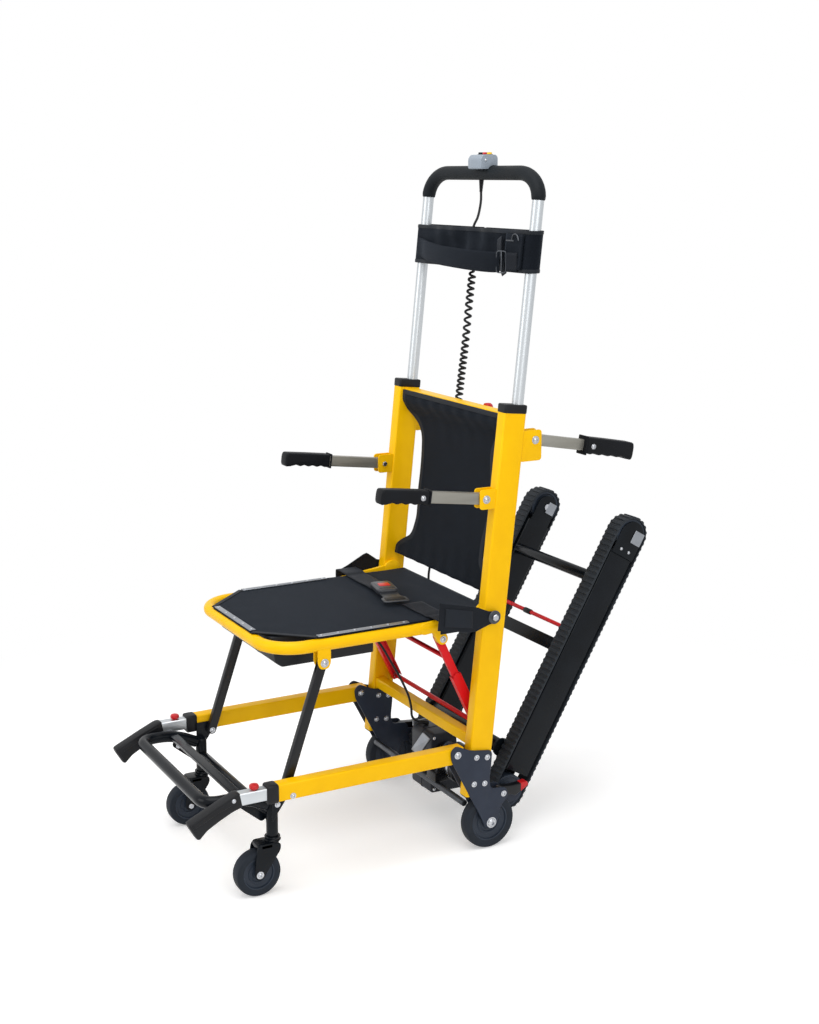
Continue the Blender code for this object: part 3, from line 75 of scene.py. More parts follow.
camera = stand("photo_camera", bpy.data.cameras.new("photo_camera"))
camera.location = (2.915, -1.537375, 1.472)
face(camera, Vector((-math.sin(HEADING) * math.cos(DIP), math.cos(HEADING) * math.cos(DIP), -math.sin(DIP))))
camera.data.lens = camera.data.sensor_width * FOCAL_PIXELS / LONG_SIDE_PIXELS
bpy.context.scene.camera = camera
bpy.context.scene.view_settings.view_transform = "Standard"

# ---- Studio. A white sweep of paper under a big overhead softbox, with one softer lamp on each side of the
# camera; the paper is seen as plain white and keeps the chair's soft shadow.

WHITE = (1, 1, 1, 1)
ROOM_LIGHT, PAPER_GLOW = 0.62, 0.3
PAPER_FADES = {"From Min": 0.75, "From Max": 1.7}


def linear(hex_colour):
    """An sRGB hex colour as the linear RGBA that a shader takes."""
    s = np.array([int(hex_colour[i:i + 2], 16) for i in (1, 3, 5)]) / 255
    rgb = np.where(s <= 0.04045, s / 12.92, ((s + 0.055) / 1.055) ** 2.4)
    return (*rgb.tolist(), 1.0)


def feed(node, inputs):
    """Links or fills a node's inputs, given by name or number, or as a tuple in their order."""
    for name, value in inputs.items() if isinstance(inputs, dict) else enumerate(inputs):
        if isinstance(value, bpy.types.NodeSocket):
            node.id_data.links.new(value, node.inputs[name])
        else:
            node.inputs[name].default_value = value
    return node


def add(tree, kind, inputs=(), **settings):
    """Adds a shader node, sets its properties and feeds it."""
    made = tree.nodes.new("ShaderNode" + kind)
    for name, value in settings.items():
        setattr(made, name, value)
    return feed(made, inputs)


def cleared(owner):
    """The emptied node tree of a world or a material."""
    owner.use_nodes = True
    owner.node_tree.nodes.clear()
    return owner.node_tree


def seen_directly(tree):
    """1 for a ray from the camera, a mirror or a window, so that metal shows the white studio too."""
    path = add(tree, "LightPath").outputs
    seen = path["Is Camera Ray"]
    for kind in ("Is Glossy Ray", "Is Transmission Ray"):
        seen = add(tree, "Math", (seen, path[kind]), operation="MAXIMUM").outputs[0]
    return seen


world = bpy.data.worlds.new("white_studio")
bpy.context.scene.world = world
tree = cleared(world)
backdrop = add(tree, "Background", {"Color": WHITE, "Strength": 1.0})
room_light = add(tree, "Background", {"Color": WHITE, "Strength": ROOM_LIGHT})
either = add(tree, "MixShader", (seen_directly(tree), room_light.outputs[0], backdrop.outputs[0]))
add(tree, "OutputWorld", {"Surface": either.outputs[0]})

paper = bpy.data.materials.new("matt_white_paper")
tree = cleared(paper)
lit = add(tree, "BsdfDiffuse", {"Color": linear("#F6F6F6")})
glow = add(tree, "Emission", {"Color": WHITE, "Strength": PAPER_GLOW})
near = add(tree, "AddShader", (lit.outputs[0], glow.outputs[0]))
far = add(tree, "Emission", {"Color": WHITE, "Strength": 1.0})
spot = add(tree, "TexCoord").outputs["Object"]
reach = add(tree, "VectorMath", (spot,), operation="LENGTH").outputs["Value"]
fade = add(tree, "MapRange", {"Value": reach, **PAPER_FADES}, interpolation_type="SMOOTHSTEP")
blended = add(tree, "MixShader", (fade.outputs[0], near.outputs[0], far.outputs[0]))
either = add(tree, "MixShader", (seen_directly(tree), lit.outputs[0], blended.outputs[0]))
add(tree, "OutputMaterial", {"Surface": either.outputs[0]})
sheet_mesh = bpy.data.meshes.new("floor_paper")
sheet_mesh.from_pydata([(-40, -40, 0), (40, -40, 0), (40, 40, 0), (-40, 40, 0)], [], [(0, 1, 2, 3)])
sheet_mesh.materials.append(paper)
stand("floor_paper", sheet_mesh)

for lamp_name, spot, size, watts in (("overhead_softbox", (0.6, -0.8, 3.6), 3.0, 62.0),
                                     ("near_side_lamp", (3.4, -0.4, 2.0), 2.2, 26.0),
                                     ("front_lamp", (-0.6, -3.6, 2.0), 2.2, 30.0)):
    lamp = stand(lamp_name, bpy.data.lights.new(lamp_name, "AREA"))
    lamp.data.shape = "DISK"
    lamp.data.size = size
    lamp.data.energy = watts
    lamp.location = spot
    face(lamp, Vector((0, 0, 0.7)) - lamp.location)

# ---- Cords. One round PVC lead runs from the switch box down behind the back, curled like a telephone lead
# so that it shortens as the handle slides in; a tail goes on to the battery, and a second lead to the motor.

REAR_AXLE_Y = 0.128625
X, Y, Z = (1, 0, 0), (0, 1, 0), (0, 0, 1)
CORD_R = 0.0028
LEAD_ROUTE = [(-0.01, 0.1165, 1.4558), (-0.004, 0.112, 1.435), (0.002, 0.108, 1.4095), (0.002, 0.101, 1.378),
    (-0.003, 0.092, 1.353), (-0.006, 0.092, 1.31), (-0.0079, 0.0949, 1.2623)]
COIL_ROUTE = [(-0.008, 0.095, 1.2615), (-0.019, 0.093, 1.189), (-0.026, 0.088, 1.098), (-0.034, 0.084, 1.03),
    (-0.041, 0.08, 0.965), (-0.05, 0.074, 0.88), (-0.058, 0.068, 0.78), (-0.066, 0.06, 0.69),
    (-0.084, 0.052, 0.62), (-0.116, 0.05, 0.566)]
TAIL_ROUTE = [(-0.1163, 0.0499, 0.5654), (-0.124, 0.05, 0.54), (-0.122, 0.047, 0.512), (-0.11, 0.028, 0.486),
    (-0.092, -0.03, 0.474), (-0.078, -0.11, 0.472), (-0.064, -0.19, 0.476), (-0.06, -0.2393, 0.482)]
MOTOR_ROUTE = [(-0.02, y, z) for y, z in (
    (-0.2393, 0.478), (-0.215, 0.476), (-0.175, 0.458), (-0.138, 0.425), (-0.11, 0.379), (-0.086, 0.337),
    (-0.064, 0.291), (-0.055, 0.258), (-0.052, 0.232), (-0.036, 0.218), (-0.01, 0.2095))]
COIL_TURNS = 48
COIL_LINE_R = 0.0067


def unit(vectors):
    """Vectors at length one."""
    vectors = np.asarray(vectors, float)
    return vectors / np.linalg.norm(vectors, axis=-1, keepdims=True)


def spread(*columns):
    """Points from their coordinates, each a number or an array."""
    return np.stack(np.broadcast_arrays(*columns), -1)


def eased(t):
    """The smooth step 3 t^2 - 2 t^3."""
    return t * t * (3 - 2 * t)


def through(points, count):
    """Points at even steps on the cubic curve that passes each route point at the slope of its neighbours."""
    p = np.asarray(points, float)
    p = np.vstack([2 * p[0] - p[1], p, 2 * p[-1] - p[-2]])
    at = np.linspace(0, len(p) - 3 - 1e-9, count)
    i = at.astype(int)
    t = (at - i)[:, None]
    a, b, c, d = p[i], p[i + 1], p[i + 2], p[i + 3]
    return 0.5 * (2 * b + (c - a) * t + (2 * a - 5 * b + 4 * c - d) * t ** 2 + (3 * b - a - 3 * c + d) * t ** 3)


def skin(rings, loop=False):
    """Quads from each ring of points to the next; the run closes on itself, or a flat face closes each end."""
    n, k = rings.shape[:2]
    row = np.arange(n if loop else n - 1)[:, None] * k
    column = np.arange(k)[None, :]
    beside = (column + 1) % k
    after = (row + k) % (n * k)
    faces = np.stack([row + column, row + beside, after + beside, after + column], -1).reshape(-1, 4).tolist()
    if not loop:
        faces += [list(range(k)), list(range((n - 1) * k, n * k))]
    return rings.reshape(-1, 3), faces


def sweep(path, profile, up, size=1.0, loop=False):
    """A closed (a, b) profile carried along a path: a points along up x heading, b along heading x that, and
    size scales the profile at each point."""
    path = np.asarray(path, float)
    heading = np.roll(path, -1, 0) - np.roll(path, 1, 0)
    if not loop:
        heading[0], heading[-1] = path[1] - path[0], path[-1] - path[-2]
    heading = unit(heading)
    across = unit(np.cross(up, heading))
    over = np.cross(heading, across)
    profile = np.asarray(profile, float)
    scale = np.broadcast_to(size, len(path))[:, None, None]
    rings = path[:, None] + scale * (profile[:, 0, None] * across[:, None] + profile[:, 1, None] * over[:, None])
    return skin(rings, loop)


def circle(radius, sides=16):
    """A round profile: radius times cosine and sine of even angles."""
    angle = np.arange(sides) * 2 * math.pi / sides
    return radius * spread(np.cos(angle), np.sin(angle))


def turned(centre, axis, profile, sides=24, loop=False, lobes=0, flute=0.0):
    """A (radius, along) profile spun about an axis through a point: each profile point becomes a circle, whose
    radius is fluted by one plus flute times the cosine of lobes times the angle."""
    profile = np.asarray(profile, float)
    axis = unit(axis)
    side = unit(np.cross(axis, (0.31, 0.59, 0.74)))
    ring = circle(1.0, sides)
    ring = ring * (1 + flute * np.cos(lobes * np.arange(sides) * 2 * math.pi / sides))[:, None]
    flat = ring[:, 0, None] * side + ring[:, 1, None] * np.cross(axis, side)
    rings = np.asarray(centre) + profile[:, 0, None, None] * flat + profile[:, 1, None, None] * axis
    return skin(rings, loop)


def placed(points, side=1):
    """Setting-out points moved into the CAD frame, mirrored first where side is -1."""
    return np.asarray(points, float) * (side, 1, 1) + (0, REAR_AXLE_Y, 0)


def mounted(made, body, finish, stands_for=()):
    """Gives a piece its finish and rides it on its CAD body."""
    made.data.materials.append(finish)
    if body:
        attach(made, body)
    if stands_for:
        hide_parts(*stands_for)
    return made


def fit(name, body, finish, parts, stands_for=(), side=1, sharp=40):
    """Joins parts into one mesh at its place, faces outwards, and mounts it."""
    starts = np.cumsum([0] + [len(points) for points, faces in parts])
    faces = [[i + start for i in face] for (_, part), start in zip(parts, starts) for face in part]
    mesh = bpy.data.meshes.new(name)
    mesh.from_pydata(placed(np.concatenate([points for points, _ in parts]), side).tolist(), [], faces)
    bm = bmesh.new()
    bm.from_mesh(mesh)
    bmesh.ops.recalc_face_normals(bm, faces=bm.faces)
    bm.to_mesh(mesh)
    bm.free()
    mesh.shade_smooth()
    mesh.set_sharp_from_angle(angle=math.radians(sharp))
    return mounted(stand(name, mesh), body, finish, stands_for)


def new_material(name):
    """A material with its node tree and its main shader."""
    made = bpy.data.materials.new(name)
    made.use_nodes = True
    return made, made.node_tree, made.node_tree.nodes["Principled BSDF"]


def surface_finish(name, colour, other, rough, metal=0.0, ior=1.5, grain=0.0012, depth=0.00003,
        drawn=(1, 1, 1), mottle=0.06, sheen=0.0, gleam=0.4):
    """A solid finish: broad mottling between two close colours, roughness that varies with it, and a fine
    grain raised by a bump. grain and mottle are sizes in metres, drawn stretches both along an axis, and gleam
    is the strength of the mirror reflection."""
    made, tree, shader = new_material(name)
    spot = add(tree, "TexCoord").outputs["Object"]
    spot = add(tree, "Mapping", {"Vector": spot, "Scale": drawn}).outputs[0]
    broad = add(tree, "TexNoise", {"Vector": spot, "Scale": 1 / mottle, "Detail": 3.0}).outputs[0]
    fine = add(tree, "TexNoise", {"Vector": spot, "Scale": 1 / grain, "Detail": 2.0}).outputs[0]
    mottled = {"Value": broad, "From Min": 0.3, "From Max": 0.7}
    ramp = add(tree, "MapRange", mottled)
    tint = add(tree, "Mix", {0: ramp.outputs[0], 6: linear(colour), 7: linear(other)}, data_type="RGBA")
    gloss = add(tree, "MapRange", {**mottled, "To Min": rough * 0.88, "To Max": rough * 1.12})
    bump = add(tree, "Bump", {"Height": fine, "Distance": depth, "Strength": 1.0})
    feed(shader, {"Base Color": tint.outputs[2], "Roughness": gloss.outputs[0], "Normal": bump.outputs[0],
        "Metallic": metal, "Sheen Weight": sheen})
    if not metal:
        feed(shader, {"IOR": ior, "Specular IOR Level": gleam})
    return made


# Extruded soft PVC jacket: satin black, with the faint orange peel of the die.
pvc_jacket = surface_finish("extruded_pvc_jacket", "#0E0F12", "#15171A", 0.42, ior=1.53,
    grain=0.002, gleam=0.22)

lead_line = through(LEAD_ROUTE, 24)
coil_middle = through(COIL_ROUTE, COIL_TURNS * 16)
turn = np.linspace(0, COIL_TURNS * 2 * math.pi, len(coil_middle))
run_in = np.clip(np.minimum(turn, turn[-1] - turn) / (2 * math.pi), 0, 1)
coil_heading = unit(np.gradient(coil_middle, axis=0))
coil_across = unit(np.cross(X, coil_heading))
coil_over = np.cross(coil_heading, coil_across)
swing = (COIL_LINE_R * run_in * (2 - run_in))[:, None]
curl = coil_middle + swing * (np.sin(turn)[:, None] * coil_across + np.cos(turn)[:, None] * coil_over)
control_line = np.vstack([lead_line[:-1], curl])
ramp = eased(run_in)[:, None]
control_up = np.vstack([np.tile(X, (len(lead_line) - 1, 1)), unit((1 - ramp) * X + ramp * coil_heading)])


def strain_relief(start, heading, reach=0.026):
    """A tapered, ringed sleeve round a lead where it leaves a housing."""
    along = np.linspace(0, reach, 17)
    radius = CORD_R * (1.9 - 0.75 * along / reach) + 0.0004 * np.cos(np.arange(17) * math.pi)
    return turned(start, heading, [(CORD_R * 0.9, 0), *spread(radius, along), (CORD_R * 0.9, reach)], 16)


def lead(name, nodes, line, sides, up, reliefs):
    """A round lead along a line, with reliefs given as (name, body, index of the line's end, index of the point
    towards which)."""
    jacket = fit(name, None, pvc_jacket, [sweep(line, circle(CORD_R, sides), up)], nodes)
    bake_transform(jacket)
    sleeves = [fit(relief, body, pvc_jacket, [strain_relief(line[at], line[to] - line[at])]) for relief, body, at, to in reliefs]


lead("control_cord", ["control_lead", "control_coil"], control_line, 8, control_up,
    [("control_cord_relief", "push_handle", 0, 3)])
for name, node, route, count, bodies, reliefs in (
        ("battery_tail", "control_tail", TAIL_ROUTE, 40, ("frame", "seat"),
         [("battery_tail_relief", "seat", -1, -4)]),
        ("motor_cord", "motor_lead", MOTOR_ROUTE, 44, ("seat", "frame"),
         [("motor_cord_top_relief", "seat", 0, 3), ("motor_cord_foot_relief", "frame", -1, -4)])):
    line = through(route, count)
    lead(name, [node], line, 12, (1.0, 0.02, 0.03), reliefs)

# ---- Uprights. Two rectangular steel tubes lean back six degrees and carry everything else; their tops are
# closed by moulded nylon caps, and pairs of welded cheeks hold the folding carry handles on their bolts.

LEAN = math.radians(5.85)
UPRIGHT_X = 0.232
CARRY_FRONT, CARRY_REAR = (-0.018, 0.797), (0.103, 0.915)
HANDS = (("left", 1), ("right", -1))


def lean(z, behind=0.0):
    """y on the leaning back at a height, so far behind the uprights' middle plane."""
    along = (np.asarray(z, float) - 0.13 + behind * math.sin(LEAN)) / math.cos(LEAN)
    return -0.0362 + along * math.sin(LEAN) + behind * math.cos(LEAN)


def eased_turn(start, corner, end, steps):
    """The parabola from each start to each end that leaves and arrives along the lines to the corner."""
    t = np.linspace(0, 1, steps + 1)[None, :, None]
    arcs = (1 - t) ** 2 * start[:, None] + 2 * t * (1 - t) * corner[:, None] + t ** 2 * end[:, None]
    return arcs.reshape(-1, corner.shape[1])


def rounded(corners, radius, steps=4):
    """A closed outline whose corners are eased from radius before each to radius after it."""
    corners = np.asarray(corners, float)
    back, ahead = np.roll(corners, 1, 0) - corners, np.roll(corners, -1, 0) - corners
    room = 0.47 * np.minimum(np.linalg.norm(back, axis=1), np.linalg.norm(ahead, axis=1))
    cut = np.minimum(radius, room)[:, None]
    return eased_turn(corners + unit(back) * cut, corners, corners + unit(ahead) * cut, steps)


def oblong(low, high, radius):
    """A rectangle with eased corners, from two opposite ones."""
    return rounded([low, (high[0], low[1]), high, (low[0], high[1])], radius)


def block(wide, deep, radius=0.003):
    """A rectangle about zero with eased corners, from its two half sizes."""
    return oblong((-wide, -deep), (wide, deep), radius)


def bar(start, end, profile, up, edge=0.0008):
    """A straight bar: its profile steps in by edge over the last edge of its length at both ends."""
    start, end = np.asarray(start, float), np.asarray(end, float)
    reach = np.linalg.norm(end - start)
    at = np.array([0, 0.3 * edge, edge, reach - edge, reach - 0.3 * edge, reach]) / reach
    size = 1 - np.array([edge, 0.3 * edge, 0, 0, 0.3 * edge, edge]) / np.abs(profile).max()
    return sweep(start + at[:, None] * (end - start), profile, up, size)


def inset(outline, by):
    """A closed outline moved inwards: each point goes along the sum of its two edges' inward normals, divided
    by one plus the cosine of the angle between them."""
    ahead = unit(np.roll(outline, -1, 0) - outline)
    normal = spread(-ahead[:, 1], ahead[:, 0])
    x, y = outline.T
    normal = normal * np.sign(np.sum(x * np.roll(y, -1) - y * np.roll(x, -1)))
    before = np.roll(normal, 1, 0)
    return outline + by * (before + normal) / np.maximum(1 + np.sum(before * normal, 1), 0.4)[:, None]


def plate(outline, x, edge=0.0008, order=(0, 1, 2)):
    """A (y, z) outline given thickness along x, its rims a quarter round: ring by ring it is inset by edge less
    edge x sine while x goes in by edge less edge x cosine. order hands depth and outline to other axes."""
    angle = np.linspace(0, math.pi / 2, 4)
    step = edge * (1 - np.cos(angle))
    depth = np.concatenate([x[0] + step, x[1] - step[::-1]])
    by = edge * (1 - np.sin(angle))
    rings = [spread(d, *inset(np.asarray(outline, float), b).T) for d, b in zip(depth, [*by, *by[::-1]])]
    points, faces = skin(np.stack(rings))
    return points[:, list(order)], faces


def pin(centre, radius, low, high, sides=16):
    """A round pin along x, from low to high of its centre."""
    return turned(centre, X, [(radius, low), (radius, high)], sides)


def screw(centre, way, radius, washer):
    """A button-head screw on its washer, facing way along x: the washer's rim, a quarter-round dome, then the
    step into the socket. washer is that rim's radius over the head's."""
    arc = np.linspace(0, 1.15, 6)
    dome = spread(radius * np.cos(arc), 0.0013 + 0.55 * radius * np.sin(arc))
    sunk = dome[-1, 1] - 0.35 * radius
    rim = [(0.0005, 0), (radius * washer, 0), (radius * washer, 0.0009), (radius * washer - 0.0004, 0.0013)]
    return turned(centre, (way, 0, 0), [*rim, *dome, (radius * 0.36, sunk), (0.0003, sunk)], 20)


def hexagon(centre, way, radius=0.0065, tall=0.005):
    """A hexagon bolt head, facing way along x: a six-sided ring whose last step draws in for the chamfer."""
    return turned(centre, (way, 0, 0),
        [(0.0005, 0), (radius, 0), (radius, tall * 0.8), (radius * 0.86, tall), (0.0005, tall)], 6)


def pair(name, body, finish, parts, node=""):
    """A piece for each hand, the right one mirrored: {0} or {0[0]} in body is the hand or its first letter, and
    node is the CAD node that the piece stands for, without its hand."""
    for hand, side in HANDS:
        fit(name + "_" + hand, body.format(hand), finish, parts, [node + "_" + hand] if node else (), side)


# Powder-coated steel: bright yellow with a soft, slightly pebbled gloss.
yellow_coat = surface_finish("powder_coated_yellow_steel", "#F8C100", "#F2B900", 0.38,
    grain=0.0026, gleam=0.14)
# Moulded nylon: near black, matt from its spark-eroded mould.
nylon = surface_finish("moulded_black_nylon", "#101215", "#181B1F", 0.48, ior=1.53,
    grain=0.0009, depth=0.00005, gleam=0.2)
# Zinc-plated steel hardware: pale and bright, a little hazy.
zinc = surface_finish("zinc_plated_steel", "#C6C8CC", "#AEB1B7", 0.26, metal=1.0,
    grain=0.0007, depth=0.00002, mottle=0.006)

tube, cap, plug = (
    bar((UPRIGHT_X, lean(low), low), (UPRIGHT_X, lean(high), high), block(*size), X, edge)
    for low, high, size, edge in ((0.13, 0.9765, (0.0275, 0.015, 0.0045), 0.0008),
                                  (0.9758, 0.9945, (0.0284, 0.0159, 0.005), 0.0025),
                                  (0.1275, 0.1305, (0.0265, 0.014, 0.004), 0.0008)))
cheeks, bolts = [], []
for (y, z), way, over, under in ((CARRY_FRONT, -1, 0.0215, 0.0215), (CARRY_REAR, 1, 0.022, 0.045)):
    cheek = rounded([(lean(z + over, 0.0235 * way), z + over), (y + 0.016 * way, z + over),
        (y + 0.016 * way, z - under), (lean(z - under, 0.0235 * way), z - under)], 0.008, 6)
    cheeks += [plate(cheek, (UPRIGHT_X + low, UPRIGHT_X + low + 0.003)) for low in (0.0095, -0.0125)]
    bolts += [screw((UPRIGHT_X + 0.0125, y, z), 1, 0.0062, 1.45), hexagon((UPRIGHT_X - 0.0125, y, z), -1),
        pin((UPRIGHT_X, y, z), 0.004, -0.0125, 0.0125)]
pair("upright_tube", "frame", yellow_coat, [tube, *cheeks], "upright")
pair("upright_caps", "frame", nylon, [cap, plug])
pair("upright_bolts", "frame", zinc, bolts)

# ---- Back. A yellow flat bar joins the uprights' tops and a square tube joins them below the seat; a
# polyester sling bound with tape at its free edges is stretched between them, and a red knob frees the handle.

TOP_BAR_Z, CROSSBAR = 0.9673, (-0.033, 0.2555)
SLING_EDGE = [(0.217, 0.922), (0.185, 0.911), (0.164, 0.886), (0.159, 0.8645), (0.165, 0.741), (0.153, 0.674),
    (0.16, 0.631), (0.1795, 0.614), (0.217, 0.604), (0.217, 0.577)]
SLING_THICK, SLING_FOOT, BELLY, BAR_STEP = 0.0026, 0.578, 0.022, 0.0167


def cross_bar(half, at, profile, up=Z, edge=0.0008):
    """A bar that lies across the chair at (y, z), half of its length to each side."""
    return bar((-half, *at), (half, *at), profile, up, edge)


def cloth(name, body, finish, grid, thick, stands_for=(), side=1):
    """A sheet from a grid of points: its UV map is the running distance along the two ways of the grid, in
    metres, and a live Solidify gives it its thickness, half on each side."""
    grid = placed(grid, side)
    n, m = grid.shape[:2]
    u, v = np.zeros((2, n, m))
    u[:, 1:] = np.cumsum(np.linalg.norm(np.diff(grid, axis=1), axis=2), axis=1)
    v[1:] = np.cumsum(np.linalg.norm(np.diff(grid, axis=0), axis=2), axis=0)
    first = np.arange(n * m).reshape(n, m)[:-1, :-1].ravel()
    faces = np.stack([first, first + 1, first + m + 1, first + m], -1)[:, ::side]
    mesh = bpy.data.meshes.new(name)
    mesh.from_pydata(grid.reshape(-1, 3).tolist(), [], faces.tolist())
    corner = faces.ravel()
    mesh.uv_layers.new(name="cut").uv.foreach_set("vector", spread(u.ravel()[corner], v.ravel()[corner]).ravel())
    mesh.shade_smooth()
    made = stand(name, mesh)
    wall = made.modifiers.new("wall", "SOLIDIFY")
    wall.thickness = thick
    wall.offset = 0
    return mounted(made, body, finish, stands_for)


def woven(name, colour, other, rough, pitch, sheen, gleam):
    """Plain weave from the piece's own UV map: warp and weft are rounded threads, each the sine of pi x distance over
    pitch made positive, and a checker one thread wide says which of the two lies on top. The base colour is lighter
    on the threads' crowns and darker in the gaps between them, which is painted shade, and it also varies at random
    in broad patches."""
    made, tree, shader = new_material(name)
    cut = add(tree, "UVMap", uv_map="cut").outputs[0]
    part = add(tree, "SeparateXYZ", (cut,))
    threads = []
    for way in ("X", "Y"):
        angle = add(tree, "Math", (part.outputs[way], math.pi / pitch), operation="MULTIPLY")
        wave = add(tree, "Math", (angle.outputs[0],), operation="SINE")
        threads.append(add(tree, "Math", (wave.outputs[0],), operation="ABSOLUTE").outputs[0])
    over = add(tree, "TexChecker", {"Vector": cut, "Scale": 1 / pitch}).outputs["Fac"]
    height = add(tree, "Mix", {0: over, 2: threads[0], 3: threads[1]}, data_type="FLOAT").outputs[0]
    spot = add(tree, "TexCoord").outputs["Object"]
    broad = add(tree, "TexNoise", {"Vector": spot, "Scale": 22.0, "Detail": 3.0}).outputs[0]
    worn = add(tree, "Math", (broad, 0.55, -0.15), operation="MULTIPLY_ADD").outputs[0]
    # Painted shade: the base colour darkens where the threads dip into the gaps between them, on top of the broad
    # random tone.
    tone_and_painted_gap_shade = add(tree, "Math", (height, 0.6, worn), operation="MULTIPLY_ADD", use_clamp=True).outputs[0]
    tint = add(tree, "Mix", {0: tone_and_painted_gap_shade, 6: linear(colour), 7: linear(other)}, data_type="RGBA")
    bump = add(tree, "Bump", {"Height": height, "Distance": 0.00016, "Strength": 1.0})
    gloss = add(tree, "MapRange", {"Value": height, "To Min": rough * 1.15, "To Max": rough * 0.9})
    feed(shader, {"Base Color": tint.outputs[2], "Roughness": gloss.outputs[0], "Normal": bump.outputs[0],
        "Sheen Weight": sheen, "Sheen Tint": linear("#93A0B4"), "Specular IOR Level": gleam, "IOR": 1.55})
    return made


# PVC-backed polyester: blue-black and matt. Its threads, 0.8 mm apart, are drawn 2.4 mm apart so that they show.
sling_weave = woven("polyester_sling_weave", "#07090D", "#141920", 0.72, 0.0024, 0.14, 0.05)
# Nylon binding tape: finer, smoother and a little lighter than the sling.
binding_tape = surface_finish("nylon_binding_tape", "#14181D", "#1D222A", 0.62, grain=0.0016,
    depth=0.00012, drawn=(1, 1, 0.3), sheen=0.04, gleam=0.16)
# Moulded red plastic for the knobs and other things to press or pull.
red_plastic = surface_finish("moulded_red_plastic", "#C5161D", "#B81219", 0.34, ior=1.49,
    gleam=0.45)

fit("back_bar", "frame", yellow_coat,
    [cross_bar(0.2165, (lean(TOP_BAR_Z), TOP_BAR_Z), block(0.015, 0.007))], ["back_top_bar"])
fit("seat_crossbar", "frame", yellow_coat,
    [cross_bar(0.2165, CROSSBAR, block(0.0125, 0.0125))], ["lower_crossbar"])

height = np.linspace(SLING_FOOT, 0.9722, 76)
edge_x = np.interp(height, *np.array(SLING_EDGE[::-1]).T[::-1])
edge_x = np.convolve(np.pad(edge_x, 2, "edge"), np.ones(5) / 5, "valid")
across = np.linspace(-1, 1, 57)
fullness = np.maximum(0, 1 - ((height - 0.765) / 0.18) ** 2)
back_y = lean(height) + BELLY * fullness - BAR_STEP * eased(np.clip((height - 0.912) / 0.044, 0, 1))
sling_x = edge_x[:, None] * across
creases = 0.001 * np.sin(sling_x / 0.0085 + 2.5 * np.sin(height / 0.05)[:, None]) * (1 - across ** 8)
creases *= np.exp(-np.minimum(height - SLING_FOOT, np.abs(0.9595 - height)) / 0.035)[:, None]
sling_y = back_y[:, None] - 0.003 * across ** 2 * fullness[:, None] + creases
back_cloth = cloth("back_sling_cloth", "frame", sling_weave, spread(sling_x, sling_y, height[:, None]),
    SLING_THICK, ["back_sling"])
tapes = [sweep(spread(side * (edge_x - 0.0065), back_y - 0.003 * fullness, height), block(0.0075, 0.0021, 0.002), Y)
    for _, side in HANDS]
hem_x = np.linspace(-0.212, 0.212, 12)
tapes.append(sweep(spread(hem_x, lean(0.9675) - 0.0177, 0.9675), block(0.0021, 0.0055, 0.002), Z))
back_binding = fit("back_sling_binding", "frame", binding_tape, tapes)
fit("release_knob", "handle_release", red_plastic,
    [turned((0.1, lean(TOP_BAR_Z) + 0.0155, TOP_BAR_Z), Y, [(0.0105, 0), (0.0112, 0.001), (0.0108, 0.009),
        (0.0102, 0.0135), (0.008, 0.0158), (0.004, 0.0166), (0.0005, 0.0167)], 64, lobes=10, flute=0.03)],
    ["handle_release_knob"])

# ---- Push handle. A bent aluminium tube slides in the uprights; a foam sleeve is pushed over its bow, and the
# switch box is clipped on the middle of that, with three push buttons on its top.

HANDLE_X, HANDLE_BEHIND, HANDLE_TOP, FOAM_R = 0.2315, 0.012, 1.472, 0.0158


def handle_y(z):
    """y of the handle's middle at a height."""
    return lean(z, HANDLE_BEHIND)


corner = np.linspace(0, math.pi / 2, 14)
bow_z = np.concatenate([np.linspace(0.69, 1.41, 24), HANDLE_TOP - 0.054 * (1 - np.sin(corner))])
bow_x = np.concatenate([np.full(24, HANDLE_X), HANDLE_X - 0.08 * (1 - np.cos(corner))])
half_bow = spread(bow_x, handle_y(bow_z), bow_z)
box_y = float(handle_y(HANDLE_TOP))
bow = np.vstack([half_bow, spread(np.linspace(0.12, -0.12, 9), box_y, HANDLE_TOP), half_bow[::-1] * (-1, 1, 1)])
handle_normal = (0, math.cos(LEAN), -math.sin(LEAN))

# Drawn aluminium tube, clear anodised: white silver, faintly brushed along its length.
anodised = surface_finish("clear_anodised_aluminium", "#C9CDD0", "#BBC0C4", 0.38, metal=0.85,
    grain=0.0006, depth=0.00002, drawn=(1, 1, 0.08), mottle=0.12)
# Closed-cell foam sleeve: soft black with fine pores and a dull sheen.
foam_rubber = surface_finish("closed_cell_foam", "#0A0F13", "#11171C", 0.6, ior=1.52, grain=0.0011,
    depth=0.00014, gleam=0.16, sheen=0.02)
# ABS moulding: light blue-grey, fine satin texture.
grey_abs = surface_finish("moulded_grey_abs", "#939DA8", "#8A949F", 0.42, ior=1.54,
    grain=0.0008, gleam=0.35)

fit("handle_bow", "push_handle", anodised, [sweep(bow, circle(0.0125, 24), handle_normal)], ["handle_tube"])
sleeve = bow[bow[:, 2] > 1.4155]
sleeve = np.vstack([sleeve[0] - (0, 0.0001, 0.0012), sleeve, sleeve[-1] - (0, 0.0001, 0.0012)])
sleeve_size = np.ones(len(sleeve))
sleeve_size[[0, -1]], sleeve_size[[1, -2]] = 0.84, 0.93
foam = fit("handle_foam", "push_handle", foam_rubber, [sweep(sleeve, circle(0.0155, 28), handle_normal, sleeve_size)],
    ["handle_grip"], sharp=60)

